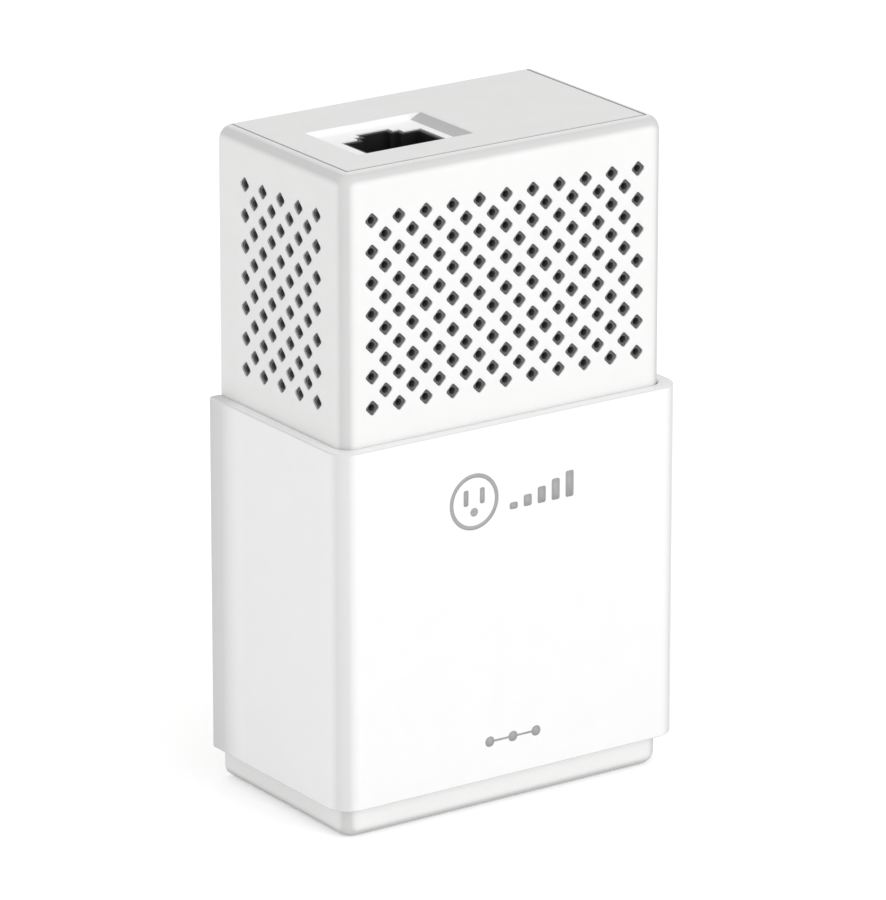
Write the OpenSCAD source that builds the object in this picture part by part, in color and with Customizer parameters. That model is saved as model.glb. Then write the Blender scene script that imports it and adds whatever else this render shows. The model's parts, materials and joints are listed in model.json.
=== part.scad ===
// Plug-in powerline network adapter: a vented white shell with a glossy sleeve, a top network
// port, a side pairing button, a three-pin mains plug and the two circuit boards inside.
// Origin: midway between the two flat blades, in the plane of the back face.
// +X is right as seen from the front, +Y points into the wall, +Z is up.

/* [Body] */
// Width of the shell above the sleeve
body_w = 53.4; // [50:0.1:66]
// Depth of the shell from its back face to its front
body_d = 30.4; // [28:0.1:38]
// Height of the shell
body_h = 95; // [88:0.5:116]
// Wall of the front shell
wall = 1.8; // [1.5:0.1:2.2]
// Thickness of the rear shell's back plate
back_t = 2.2; // [1.8:0.1:2.6]
// Thickness of the rear shell's top plate
top_t = 2; // [1.6:0.1:2.4]
// Radius of the shell's upright front corners
corner_r = 2.4; // [1.6:0.1:3]
// Radius of the shell's top edges
top_r = 2; // [1:0.1:2.2]
// Radius of the shell's bottom edges
bottom_r = 1.8; // [1:0.1:2]
// Width of the rolled rim round the top plate
rim_w = 2.1; // [2:0.1:2.6]
// Height of the blades above the bottom of the shell
blade_h = 22.5; // [20:0.5:26]

/* [Sleeve] */
// How far the sleeve stands proud of the shell
sleeve_t = 1.92; // [1.2:0.02:2.4]
// Height of the sleeve
sleeve_h = 51.7; // [40:0.1:54]
// Height of the sleeve's lower edge above the bottom
sleeve_z = 4.8; // [3:0.1:6]
// Gap between the sleeve and the shell
sleeve_gap = 0.05; // [0.02:0.01:0.1]

/* [Vents] */
// Side of one square vent hole
vent_side = 1.7; // [1.2:0.05:1.9]
// Spacing of the vent columns, twice that of the rows
vent_pitch = 4.4; // [3.8:0.1:5]
// Number of vent rows
vent_rows = 13; // [7:2:13]
// Number of front vent columns
front_cols = 11; // [7:2:11]
// Number of side vent columns
side_cols = 5; // [3:1:5]
// Number of vent rows on the button side
right_rows = 6; // [2:2:6]
// Thickness of the wall where the vents pass through it
vent_skin = 0.6; // [0.5:0.05:0.9]
// Distance from the top row of vents to the top of the shell
vent_top = 6.8; // [6:0.1:9]
// Diameter of the holes in the dark screen
screen_hole = 1.03; // [0.8:0.01:1.3]
// Thickness of the dark screen
screen_t = 0.8; // [0.6:0.1:1]
// Depth of the screen's plugs below the outside of the shell
plug_deep = 0.25; // [0.1:0.05:0.4]
// Gap round a plug in its vent
plug_gap = 0.04; // [0.02:0.01:0.08]

/* [Plug] */
// Distance between the two blades
blade_pitch = 12.7; // [12.7:0.1:13]
// Height of the neutral blade
neutral_w = 7.9; // [7.6:0.1:8.2]
// Height of the live blade
live_w = 6.35; // [6:0.05:6.6]
// Thickness of both blades
blade_t = 1.5; // [1.4:0.02:1.6]
// Length of both blades past the back face
blade_l = 17; // [15.9:0.1:18.2]
// Diameter of the hole in each blade
blade_hole = 3.2; // [2.8:0.1:3.6]
// Distance of that hole from the back face
blade_hole_y = 11.9; // [11:0.1:12.4]
// Diameter of the earth pin
earth_d = 4.8; // [4.7:0.05:4.9]
// Length of the earth pin past the back face
earth_l = 20.5; // [19:0.5:21]
// Distance of the earth pin below the blades
earth_drop = 11.9; // [11.5:0.1:12.2]

/* [Network port] */
// Middle of the port from the middle of the shell
port_x = -9.4; // [-11:0.1:-8.6]
// Distance of the port's front edge from the shell's front
port_front = 8.8; // [8:0.1:10]
// Width of the port
port_w = 11.8; // [11.6:0.1:12]
// Main depth of the port
port_d = 7.2; // [7:0.1:7.4]
// Length of the port's opening below the top plate
port_l = 14; // [12:0.5:16]
// Width of the latch slot
latch_w = 4.2; // [3.8:0.1:4.6]
// Depth of the latch slot and of the step before it, each
latch_step = 1.15; // [1:0.05:1.3]
// Depth of the pocket round the port in the top plate
pocket_z = 0.9; // [0.5:0.1:1]
// Wall of the jack's nose, which fills the hole in the top plate
nose_t = 0.5; // [0.3:0.1:0.7]

/* [Button and lights] */
// Height of the pairing button
button_h = 5.9; // [4.9:0.1:7.1]
// Length of the pairing button
button_l = 8; // [7:0.1:9]
// How far the button stands proud of the shell
button_proud = 0.35; // [0.3:0.05:0.6]
// Height of the button's middle above the bottom
button_z = 67.85; // [66:0.1:69]
// Gap round the button
button_gap = 0.15; // [0.1:0.05:0.25]
// Height of the light windows above the bottom
light_z = 60.7; // [60:0.1:61]
// Height of a light window
light_h = 1.4; // [1:0.1:1.6]
// Length of a light window
light_l = 2; // [1.6:0.1:2.4]
// Distance between the light windows
light_pitch = 4; // [3.6:0.1:4.4]

/* [Boards] */
// Thickness of both circuit boards
board_t = 1.6; // [1.2:0.1:2]
// Gap between the boards' edges and the screw bosses
board_gap = 0.4; // [0.2:0.1:0.6]
// Distance from the back face to the power board
power_y = 5.8; // [5.8:0.1:6.2]
// Distance from the back face to the main board
main_y = 7.3; // [7.3:0.1:7.6]
// Height of the power board
power_h = 45.6; // [45:0.1:46]

/* [Fasteners] */
// Shank diameter of a housing screw
screw_d = 2.2; // [2:0.1:2.4]
// Head diameter of a housing screw
screw_head = 4.2; // [3.8:0.1:4.4]
// Shank diameter of a board screw
board_screw_d = 1.8; // [1.6:0.1:2]
// Head diameter of a board screw
board_screw_head = 3.6; // [3.2:0.1:3.6]

/* [Hidden] */
$fn = 48;
eps = 0.01;

// Levels and planes of the shell
z_low = -blade_h;
z_high = body_h - blade_h;
half_w = body_w / 2;
sleeve_low = z_low + sleeve_z;
top_z = z_high - top_t;
inner_r = corner_r - wall;
fit_gap = 0.1;
base_t = wall;

// Vents
row_pitch = vent_pitch / 2;
vent_z = z_high - vent_top;
side_vent_y = -body_d / 2;
screen_gap = 0.03;
screen_h = vent_rows * row_pitch + 4.4;
screen_flap = 11;
screen_side_x = half_w - vent_skin - screen_gap;
screen_front_y = -body_d + vent_skin + screen_gap;
screen_low = vent_z - (vent_rows - 1) * row_pitch - 2.6;
right_screen_low = vent_z - (right_rows - 1) * row_pitch - 1.8;

// Network port: the latch points at the wall
port_y = -body_d + port_front;
pocket_w = 15.6;
pocket_d = 13;
pocket_y = port_y - 1;
jack_w = 15.9;
jack_d = body_d - port_front - main_y - board_t + 0.9;
jack_h = 21.4;
jack_z = top_z - 0.1;
jack_front = port_y - 0.9;
jack_side = 0.25;
port_gap = 0.1;
nose_z = z_high - pocket_z - 0.1;

// Bosses of the housing screws, and the boards between them
boss_d = 5;
boss_x = half_w - wall - 3;
board_w = 2 * (boss_x - boss_d / 2 - board_gap);

// Button, lights and the switch behind them
button_y = side_vent_y;
button_level = z_low + button_z;
button_x = half_w + button_proud;
flange_x = half_w - wall - 0.05;
flange_t = 1;
flange_lip = 0.8;
stem_d = 2.4;
stem_y = -main_y - board_t - 3.3;
plunger_x = flange_x - flange_t - 3.4;
plunger_d = 3.2;
plunger_in = 0.8;
switch_x = plunger_x - 1.8;
switch_size = [6.4, 6.2, 4];
press_travel = 0.3;
press_gap = 0.05;
light_level = z_low + light_z;
led_pitch = 3.5;
led_x = board_w / 2 - 1.5;
led_size = [1.6, 1.2, 0.8];
first_light_y = -main_y - board_t - 2.3;

// Boards
board_low = z_low + wall + 1.1;
power_high = board_low + power_h;
main_low = power_high + 2;
main_high = top_z - 0.9;
power_front = -power_y - board_t;
main_front = -main_y - board_t;
lead_d = 0.7;
pin_seat = power_y - 0.4;

// Pins inside the housing: clearance in the carrier, thickness of the solder tails past the board
neck_d = earth_d + 0.9;
shoulder_d = earth_d + 2;
press_fit = 0.02;
seat_gap = 0.1;
tail_w = 4;
tail_d = 2;
tail_out = 1.6;

// Screws: housing screws join the shells, board screws hold the boards on the rear shell
boss_levels = [z_low + 5.3, z_low + 54.9];
boss_back = 4.1;
screw_l = 9;
head_t = 1.6;
head_y = -0.4;
board_boss_d = 4.4;
board_screw_l = 3.4;
board_head_t = 1.3;
power_holes = [[-board_w / 2 + 3.2, board_low + 3.2], [board_w / 2 - 3.2, power_high - 3.4]];
main_holes = [[-board_w / 2 + 2.6, main_low + 3], [board_w / 2 - 2, main_high - 2.8]];
hole_gap = 0.3;

// Label pocket in the back face
label_w = 34;
label_h = 30;
label_z = z_low + 64;
label_t = 0.15;
label_deep = 0.2;

// ---- shapes ----

module box(x, y, z) {
    translate([x[0], y[0], z[0]])
        cube([x[1] - x[0], y[1] - y[0], z[1] - z[0]]);
}

// A part of size [width, height, thickness], centred at [x, z], that stands on a board's front face
module chip(at, size, face) {
    box([at[0] - size[0] / 2, at[0] + size[0] / 2], [face - size[2], face],
        [at[1] - size[1] / 2, at[1] + size[1] / 2]);
}

// A cylinder along Y from y to y + l
module rod(x, y, z, d, l) {
    translate([x, y, z])
        rotate([-90, 0, 0])
            cylinder(d = d, h = l);
}

// Plan of a box whose two front corners are round and whose back is at y = 0
module plan(w, d, r) {
    translate([-w / 2, -d + r])
        square([w, d - r]);
    translate([-w / 2 + r, -d])
        square([w - 2 * r, r + eps]);
    for (s = [-1, 1])
        translate([s * (w / 2 - r), -d + r])
            circle(r);
}

// Outline of a panel w wide from low to high, with its own radius on the top and bottom corners
module panel(w, low, high, r_top, r_low) {
    translate([-w / 2, low + r_low])
        square([w, high - low - r_top - r_low]);
    translate([-w / 2 + r_top, high - r_top - eps])
        square([w - 2 * r_top, r_top + eps]);
    translate([-w / 2 + r_low, low])
        square([w - 2 * r_low, r_low + eps]);
    for (s = [-1, 1]) {
        translate([s * (w / 2 - r_top), high - r_top])
            circle(r_top);
        translate([s * (w / 2 - r_low), low + r_low])
            circle(r_low);
    }
}

// The shell's outer form: round upright corners, round top and bottom edges
module shell_form() {
    intersection() {
        translate([0, 0, z_low])
            linear_extrude(body_h)
                plan(body_w, body_d, corner_r);
        rotate([90, 0, 0])
            linear_extrude(body_d)
                panel(body_w, z_low, z_high, top_r, bottom_r);
        rotate([90, 0, 90])
            translate([0, 0, -half_w])
                linear_extrude(body_w)
                    panel(2 * body_d, z_low, z_high, top_r, bottom_r);
    }
}

// Middles of staggered vents about u = 0, from the top row down; every second row is one shorter
function vents(cols, rows) = [
    for (row = [0 : rows - 1], col = [0 : cols - 1 - row % 2])
        [(col - (cols - 1 - row % 2) / 2) * vent_pitch, -row * row_pitch]
];

module vent_squares(cols, rows, side) {
    for (at = vents(cols, rows))
        translate(at)
            rotate(45)
                square(side, center = true);
}

module vent_rounds(cols, rows) {
    for (at = vents(cols, rows))
        translate(at)
            circle(d = screen_hole, $fn = 16);
}

// Stands a 2-D pattern up in the front wall, from y to y + deep
module on_front(y, deep) {
    translate([0, y + deep, vent_z])
        rotate([90, 0, 0])
            linear_extrude(deep)
                children();
}

// Stands a 2-D pattern up in a side wall, from x to x + deep
module on_side(x, deep) {
    translate([x, side_vent_y, vent_z])
        rotate([90, 0, 90])
            linear_extrude(deep)
                children();
}

// Port outline seen from above, grown by g: the main opening, the step and the latch slot
module port_outline(g) {
    translate([port_x - port_w / 2 - g, port_y - g])
        square([port_w + 2 * g, port_d + 2 * g]);
    translate([port_x - latch_w * 0.75 - g, port_y])
        square([latch_w * 1.5 + 2 * g, port_d + latch_step + g]);
    translate([port_x - latch_w / 2 - g, port_y])
        square([latch_w + 2 * g, port_d + 2 * latch_step + g]);
}

// Stadium of the button in the plane of the side wall, grown by g
module button_outline(g) {
    r = button_h / 2 + g;
    reach = (button_l - button_h) / 2;
    translate([-reach, -r])
        square([2 * reach, 2 * r]);
    for (s = [-1, 1])
        translate([s * reach, 0])
            circle(r);
}

// Extrudes a 2-D shape along X at the button's place, from x to x + deep
module at_button(x, deep) {
    translate([x, button_y, button_level])
        rotate([90, 0, 90])
            linear_extrude(deep)
                children();
}

// Middle of light window i, from the board outwards
function light_y(i) = first_light_y - i * light_pitch;

// ---- shell ----

module front_housing() {
    color("whitesmoke")
        difference() {
            union() {
                difference() {
                    shell_form();
                    // Cavity behind the front wall
                    translate([0, 0, z_low + base_t])
                        linear_extrude(top_z - z_low - base_t)
                            plan(body_w - 2 * wall, body_d - wall, inner_r);
                    // Opening that the top plate fills
                    box([-half_w + rim_w, half_w - rim_w], [-body_d + rim_w, eps], [top_z - eps, z_high + eps]);
                    // Open back
                    box([-half_w + wall, half_w - wall], [-back_t, eps], [z_low + base_t, top_z + eps]);
                    // Notch in the base for the back plate's foot
                    back_foot(fit_gap);
                }
                // Bosses for the housing screws
                for (x = [-boss_x, boss_x], z = boss_levels)
                    rod(x, -body_d + wall - eps, z, boss_d, body_d - wall - boss_back);
            }
            screen_panels(screen_gap, wall - vent_skin + eps);
            for (x = [-boss_x, boss_x], z = boss_levels)
                rod(x, -boss_back - screw_l, z, screw_d + 0.1, screw_l + eps);
            on_front(-body_d - eps, wall + 2 * eps)
                vent_squares(front_cols, vent_rows, vent_side);
            on_side(-half_w - eps, wall + 2 * eps)
                vent_squares(side_cols, vent_rows, vent_side);
            on_side(half_w - wall - eps, wall + 2 * eps)
                vent_squares(side_cols, right_rows, vent_side);
            at_button(half_w - wall - eps, wall + 2 * eps)
                button_outline(button_gap);
            for (i = [0 : 2])
                box([half_w - wall - eps, half_w + eps],
                    [light_y(i) - light_l / 2 - fit_gap, light_y(i) + light_l / 2 + fit_gap],
                    [light_level - light_h / 2 - fit_gap, light_level + light_h / 2 + fit_gap]);
            sleeve_clips(fit_gap);
        }
}

// Clips of the sleeve, which snap into windows in the shell; grown by g for the windows
clip_w = 6;
clip_h = 2.4;
clip_bite = 1;
clip_root = 0.5;
clip_levels = [sleeve_low + 9, sleeve_low + sleeve_h - 12];

module sleeve_clips(g) {
    reach = [half_w - clip_bite, half_w + clip_root];
    for (x = [reach, [-reach[1], -reach[0]]], z = clip_levels)
        box(x, [side_vent_y - clip_w / 2 - g, side_vent_y + clip_w / 2 + g], [z - g, z + clip_h + g]);
}

module outer_sleeve() {
    color("white") {
        translate([0, 0, sleeve_low])
            linear_extrude(sleeve_h)
                difference() {
                    plan(body_w + 2 * sleeve_t, body_d + sleeve_t, corner_r + sleeve_t / 2);
                    plan(body_w + 2 * sleeve_gap, body_d + sleeve_gap, corner_r);
                }
        sleeve_clips(0);
    }
}

// Foot of the back plate, which makes the back edge of the base; grown by g for its notch
module back_foot(g) {
    reach = half_w - max(wall, bottom_r) - fit_gap + g;
    box([-reach, reach], [-back_t - g, g], [z_low - g, z_low + base_t + fit_gap + eps]);
}

module rear_housing() {
    color("whitesmoke")
        difference() {
            union() {
                // Back plate
                box([-half_w + wall + fit_gap, half_w - wall - fit_gap], [-back_t, 0],
                    [z_low + base_t + fit_gap, top_z + eps]);
                back_foot(0);
                // Top plate with the port pocket
                box([-half_w + rim_w + fit_gap, half_w - rim_w - fit_gap], [-body_d + rim_w + fit_gap, 0],
                    [top_z, z_high]);
                for (x = [-boss_x, boss_x], z = boss_levels)
                    rod(x, -boss_back + fit_gap, z, boss_d, boss_back - fit_gap - eps);
                for (at = power_holes)
                    rod(at[0], -power_y, at[1], board_boss_d, power_y - eps);
                for (at = main_holes)
                    rod(at[0], -main_y, at[1], board_boss_d, main_y - eps);
            }
            // Screw holes with their counterbores
            for (x = [-boss_x, boss_x], z = boss_levels) {
                rod(x, -boss_back - eps, z, screw_d + hole_gap, boss_back + 2 * eps);
                rod(x, head_y - head_t, z, screw_head + hole_gap, head_t - head_y + eps);
            }
            for (at = power_holes)
                rod(at[0], -power_y - eps, at[1], board_screw_d + 0.1, board_screw_l);
            for (at = main_holes)
                rod(at[0], -main_y - eps, at[1], board_screw_d + 0.1, board_screw_l);
            // Blade slots and earth pin hole
            blade_slot(-1, neutral_w);
            blade_slot(1, live_w);
            rod(0, -back_t - eps, -earth_drop, neck_d + fit_gap, back_t + 2 * eps);
            // Pocket for the label
            box([-label_w / 2 - fit_gap, label_w / 2 + fit_gap], [-label_deep, eps],
                [label_z - label_h / 2 - fit_gap, label_z + label_h / 2 + fit_gap]);
            // Pocket round the port, with a ramp at each end, and the port itself
            port_pocket();
            translate([0, 0, top_z - eps])
                linear_extrude(top_t + 2 * eps)
                    port_outline(nose_t + port_gap);
        }
}

module blade_slot(side, w) {
    x = side * blade_pitch / 2;
    box([x - blade_t / 2 - fit_gap, x + blade_t / 2 + fit_gap], [-back_t - eps, eps],
        [-w / 2 - fit_gap, w / 2 + fit_gap]);
}

module port_pocket() {
    ramp = 2 * pocket_z;
    translate([port_x, pocket_y, z_high])
        rotate([-90, 0, 0])
            linear_extrude(pocket_d)
                polygon([
                    [-pocket_w / 2 - ramp, -eps], [pocket_w / 2 + ramp, -eps],
                    [pocket_w / 2, pocket_z], [-pocket_w / 2, pocket_z]
                ]);
}

// The screen's front panel and two side flaps, t thick and grown by g, which is also the size of the
// pockets that the shell has for them
module screen_panels(g, t) {
    flap_y = [-body_d + wall + inner_r - g, side_vent_y + screen_flap + g];
    front_x = half_w - wall - inner_r + g;
    tall = [screen_low - g, screen_low + screen_h + g];
    short = [right_screen_low - g, screen_low + screen_h + g];
    box([-front_x, front_x], [screen_front_y - g, screen_front_y + t], tall);
    box([-screen_side_x - g, -screen_side_x + t], flap_y, tall);
    box([screen_side_x - t, screen_side_x + g], flap_y, short);
}

// Dark perforated screen, whose plugs fill the vents from behind and have a round hole each
module vent_screen() {
    front_x = half_w - wall - inner_r;
    join_x = screen_side_x - screen_t + eps;
    flap_y = -body_d + wall + inner_r;
    plug = vent_side - 2 * plug_gap;
    plug_t = vent_skin + screen_gap - plug_deep + eps;
    hole_t = plug_t + screen_t + 2 * eps;
    color("dimgray")
        difference() {
            union() {
                screen_panels(0, screen_t);
                on_front(-body_d + plug_deep, plug_t)
                    vent_squares(front_cols, vent_rows, plug);
                on_side(-half_w + plug_deep, plug_t)
                    vent_squares(side_cols, vent_rows, plug);
                on_side(half_w - plug_deep - plug_t, plug_t)
                    vent_squares(side_cols, right_rows, plug);
                // Bars that join the flaps to the front panel round the shell's inner corners
                for (s = [-1, 1]) {
                    z = [s < 0 ? screen_low : right_screen_low, screen_low + screen_h];
                    bar = [front_x - 1, join_x];
                    foot = [front_x - 1, front_x];
                    box(s < 0 ? [-bar[1], -bar[0]] : bar, [flap_y, flap_y + screen_t / 2], z);
                    box(s < 0 ? [-foot[1], -foot[0]] : foot,
                        [screen_front_y + screen_t - eps, flap_y + eps], z);
                }
            }
            on_front(-body_d + plug_deep - eps, hole_t)
                vent_rounds(front_cols, vent_rows);
            on_side(-half_w + plug_deep - eps, hole_t)
                vent_rounds(side_cols, vent_rows);
            on_side(half_w - plug_deep + eps - hole_t, hole_t)
                vent_rounds(side_cols, right_rows);
        }
}

module rating_label() {
    color("silver")
        box([-label_w / 2, label_w / 2], [-label_deep, -label_deep + label_t],
            [label_z - label_h / 2, label_z + label_h / 2]);
}

// Cross recess sunk into a screw head of diameter d whose face is at y
module cross_recess(x, y, z, d) {
    for (turn = [0, 90])
        translate([x, y, z])
            rotate([0, turn, 0])
                cube([d * 0.53, d * 0.33, d * 0.12], center = true);
}

module housing_screws() {
    shank_y = -boss_back - screw_l + 0.5;
    color("silver")
        for (x = [-boss_x, boss_x], z = boss_levels)
            difference() {
                union() {
                    rod(x, head_y - head_t, z, screw_head, head_t);
                    rod(x, shank_y, z, screw_d, head_y - head_t - shank_y + eps);
                }
                cross_recess(x, head_y, z, screw_head);
            }
}

// ---- button and lights ----

module pair_button() {
    color("whitesmoke") {
        at_button(flange_x - eps, button_x - flange_x + eps)
            button_outline(0);
        at_button(flange_x - flange_t, flange_t)
            button_outline(flange_lip);
        translate([plunger_x + press_gap, stem_y, button_level])
            rotate([0, 90, 0])
                cylinder(d = stem_d, h = flange_x - flange_t - plunger_x - press_gap + eps);
    }
}

module switch_body() {
    bore = plunger_in + press_travel + 0.2;
    color("black")
        difference() {
            box([switch_x - switch_size[2], switch_x], [main_front - switch_size[0], main_front],
                [button_level - switch_size[1] / 2, button_level + switch_size[1] / 2]);
            translate([switch_x - bore, stem_y, button_level])
                rotate([0, 90, 0])
                    cylinder(d = plunger_d + fit_gap, h = bore + eps);
        }
}

module switch_plunger() {
    color("dimgray")
        translate([switch_x - plunger_in, stem_y, button_level])
            rotate([0, 90, 0])
                cylinder(d = plunger_d, h = plunger_x - switch_x + plunger_in);
}

module light_pipe() {
    z = [light_level - light_h / 2, light_level + light_h / 2];
    web_x = half_w - wall - 2.2;
    color("lightblue") {
        for (i = [0 : 2]) {
            x = led_x - i * led_pitch;
            // Arm to the side window, then arm to the light on the board
            box([x - light_l / 2, half_w], [light_y(i) - light_l / 2, light_y(i) + light_l / 2], z);
            box([x - light_l / 2, x + light_l / 2], [light_y(i), main_front - led_size[2] - 0.2], z);
        }
        // Web that joins the arms behind the wall
        box([web_x, web_x + 1.2], [light_y(2), light_y(0)], [z[0] - 0.4, z[0] + 0.3]);
    }
}

module status_leds() {
    color("palegreen")
        for (i = [0 : 2])
            chip([led_x - i * led_pitch, light_level], led_size, main_front);
}

// ---- plug ----

module blade(side, w) {
    x = side * blade_pitch / 2;
    thick = [x - blade_t / 2, x + blade_t / 2];
    tip_y = blade_l - 1.6;
    tip_z = w / 2 - 1.2;
    color("silver")
        difference() {
            union() {
                // Blade with its tip narrowed by two chamfers
                translate([thick[0], 0, 0])
                    rotate([90, 0, 90])
                        linear_extrude(blade_t)
                            polygon([
                                [-back_t, -w / 2], [tip_y, -w / 2], [blade_l, -tip_z],
                                [blade_l, tip_z], [tip_y, w / 2], [-back_t, w / 2]
                            ]);
                // Shoulder held by the carrier and the tab through the power board
                box(thick, [-pin_seat, -back_t + eps], [-w / 2, w / 2]);
                box(thick, [power_front - tail_out, -pin_seat + eps], [-tail_w / 2, tail_w / 2]);
            }
            translate([x - blade_t / 2 - eps, blade_hole_y, 0])
                rotate([0, 90, 0])
                    cylinder(d = blade_hole, h = blade_t + 2 * eps);
        }
}

module live_blade() {
    blade(1, live_w);
}

module neutral_blade() {
    blade(-1, neutral_w);
}

// Round pin with a ball end, a neck in the back plate, a shoulder in the carrier and a solder tail
module earth_pin() {
    tip_r = earth_d / 2;
    color("silver")
        union() {
            rod(0, 0, -earth_drop, earth_d, earth_l - tip_r);
            translate([0, earth_l - tip_r, -earth_drop])
                sphere(tip_r);
            rod(0, -back_t - seat_gap - eps, -earth_drop, neck_d, back_t + seat_gap + eps);
            rod(0, -pin_seat, -earth_drop, shoulder_d, pin_seat - back_t - seat_gap);
            rod(0, power_front - tail_out, -earth_drop, tail_d, tail_out - power_front - pin_seat + eps);
        }
}

// Moulded block behind the back plate that holds the three pins
module blade_carrier() {
    rim = 2.4;
    half = blade_pitch / 2 + blade_t / 2 + 3.9;
    color("dimgray")
        difference() {
            box([-half, half], [-pin_seat, -back_t - seat_gap / 2],
                [-earth_drop - shoulder_d / 2 - 1.2, neutral_w / 2 + rim]);
            carrier_slot(-1, neutral_w);
            carrier_slot(1, live_w);
            rod(0, -power_y, -earth_drop, shoulder_d + 2 * press_fit, power_y);
        }
}

module carrier_slot(side, w) {
    x = side * blade_pitch / 2;
    t = blade_t / 2 + press_fit;
    box([x - t, x + t], [-power_y, 0], [-w / 2 - press_fit, w / 2 + press_fit]);
}

// ---- boards ----

module power_board() {
    color("green")
        difference() {
            box([-board_w / 2, board_w / 2], [power_front, -power_y], [board_low, power_high]);
            for (at = power_holes)
                rod(at[0], power_front - eps, at[1], board_screw_d + hole_gap, board_t + 2 * eps);
            // Slots and hole for the tails of the blades and the earth pin
            for (x = [-blade_pitch / 2, blade_pitch / 2])
                box([x - 1, x + 1], [power_front - eps, -power_y + eps], [-tail_w / 2 - 0.3, tail_w / 2 + 0.3]);
            rod(0, power_front - eps, -earth_drop, tail_d + 0.4, board_t + 2 * eps);
        }
}

module main_board() {
    color("green")
        difference() {
            box([-board_w / 2, board_w / 2], [main_front, -main_y], [main_low, main_high]);
            for (at = main_holes)
                rod(at[0], main_front - eps, at[1], board_screw_d + hole_gap, board_t + 2 * eps);
        }
}

module board_screw(at, face) {
    difference() {
        union() {
            rod(at[0], face - board_head_t, at[1], board_screw_head, board_head_t);
            rod(at[0], face - eps, at[1], board_screw_d, board_t + board_screw_l - 0.4);
        }
        cross_recess(at[0], face - board_head_t, at[1], board_screw_head);
    }
}

module board_screws() {
    color("silver") {
        for (at = power_holes)
            board_screw(at, power_front);
        for (at = main_holes)
            board_screw(at, main_front);
    }
}

// Pin header that carries power and signals from the lower board to the upper one
link_x = 5.5;
link_pins_n = 6;
link_pitch = 2;
link_h = 2.4;
pin_t = 0.5;
pin_out = 1;
link_y = main_front - pin_t / 2 - press_fit;
link_z = power_high - 3.2;
link_half = link_pitch * link_pins_n / 2;

module link_strip() {
    color("black")
        difference() {
            box([link_x - link_half, link_x + link_half], [link_y - link_h / 2, power_front],
                [link_z - link_h / 2, link_z + link_h / 2]);
            for (i = [0 : link_pins_n - 1])
                translate([link_pin_x(i), link_y, link_z])
                    cube([pin_t + 2 * press_fit, pin_t + 2 * press_fit, 2 * link_h], center = true);
        }
}

function link_pin_x(i) = link_x + (i - (link_pins_n - 1) / 2) * link_pitch;

module link_pins() {
    foot = link_z - link_h / 2 - pin_out;
    color("gold")
        for (i = [0 : link_pins_n - 1]) {
            x = [link_pin_x(i) - pin_t / 2, link_pin_x(i) + pin_t / 2];
            box(x, [link_y - pin_t / 2, link_y + pin_t / 2], [foot, main_low + 4]);
            box(x, [link_y, power_front], [foot, foot + pin_t]);
        }
}

// ---- network jack ----

module jack_body() {
    color("black")
        difference() {
            union() {
                box([port_x - jack_w / 2, port_x + jack_w / 2], [jack_front, jack_front + jack_d],
                    [jack_z - jack_h, jack_z]);
                translate([0, 0, jack_z - eps])
                    linear_extrude(nose_z - jack_z + eps)
                        port_outline(nose_t);
            }
            translate([0, 0, jack_z - port_l])
                linear_extrude(port_l + top_t)
                    port_outline(0);
        }
}

// Tinned sheet wrapped round the front, both sides and the bottom of the jack
module jack_shield() {
    gap = press_fit;
    out = gap + jack_side;
    x = [port_x - jack_w / 2, port_x + jack_w / 2];
    color("silver")
        difference() {
            box([x[0] - out, x[1] + out], [jack_front - out, jack_front + jack_d - 0.6],
                [jack_z - jack_h - out, jack_z - 0.3]);
            box([x[0] - gap, x[1] + gap], [jack_front - gap, jack_front + jack_d],
                [jack_z - jack_h - gap, jack_z]);
        }
}

contact_t = 0.35;
contact_pitch = 1.02;
contacts_n = 8;

// Eight spring wires that lean out from the jack's front wall
module jack_contacts() {
    foot_z = jack_z - port_l + 1;
    color("gold")
        for (i = [0 : contacts_n - 1])
            translate([port_x + (i - (contacts_n - 1) / 2) * contact_pitch - contact_t / 2, port_y, foot_z])
                rotate([90, 0, 90])
                    linear_extrude(contact_t)
                        polygon([
                            [0, 0], [1.9, 8.4], [1.9, 9.2], [1.5, 9.2],
                            [0.5, 4.6], [0, 4.6]
                        ]);
}

// ---- parts on the main board ----

modem_at = [7.8, main_high - 11];
modem_size = [14, 14, 1];
pad_t = 0.5;
sink_size = [15, 18.4, 2];
fins = 6;
fin_t = 1.2;
phy_at = [2.6, button_level - 1];
phy_size = [6, 6, 0.9];
memory_at = [8.6, button_level - 1.2];
memory_size = [5, 4, 1.6];
lan_at = [port_x, jack_z - jack_h - 6.4];
lan_size = [12.7, 9.5, 5.5];
crystal_at = [3, main_low + 8.8];
crystal_size = [10.5, 3.8, 3.5];
coupling_at = [-8.4, main_low + 4.9];
coupling_size = [9, 8.6, 8];
coupling_window = [1.2, 6, 5];

module modem_chip() {
    color("black")
        chip(modem_at, modem_size, main_front);
}

module thermal_pad() {
    color("lightgray")
        chip(modem_at, [modem_size[0] - 1, modem_size[1] - 1, pad_t], main_front - modem_size[2]);
}

// Finned cooler, whose fins stand up and end level with the jack
module heat_sink() {
    base_y = main_front - modem_size[2] - pad_t;
    low = [modem_at[0] - sink_size[0] / 2, modem_at[1] - sink_size[1] / 2];
    fin_pitch = (sink_size[0] - fin_t) / (fins - 1);
    color("silver") {
        chip(modem_at, sink_size, base_y);
        for (x = [low[0] : fin_pitch : low[0] + sink_size[0] - fin_t + eps])
            box([x, x + fin_t], [jack_front, base_y - sink_size[2] + eps], [low[1], low[1] + sink_size[1]]);
    }
}

module phy_chip() {
    color("black")
        chip(phy_at, phy_size, main_front);
}

module memory_chip() {
    color("black")
        chip(memory_at, memory_size, main_front);
}

module lan_transformer() {
    color("black")
        chip(lan_at, lan_size, main_front);
}

module crystal() {
    color("silver")
        chip(crystal_at, crystal_size, main_front);
}

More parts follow.
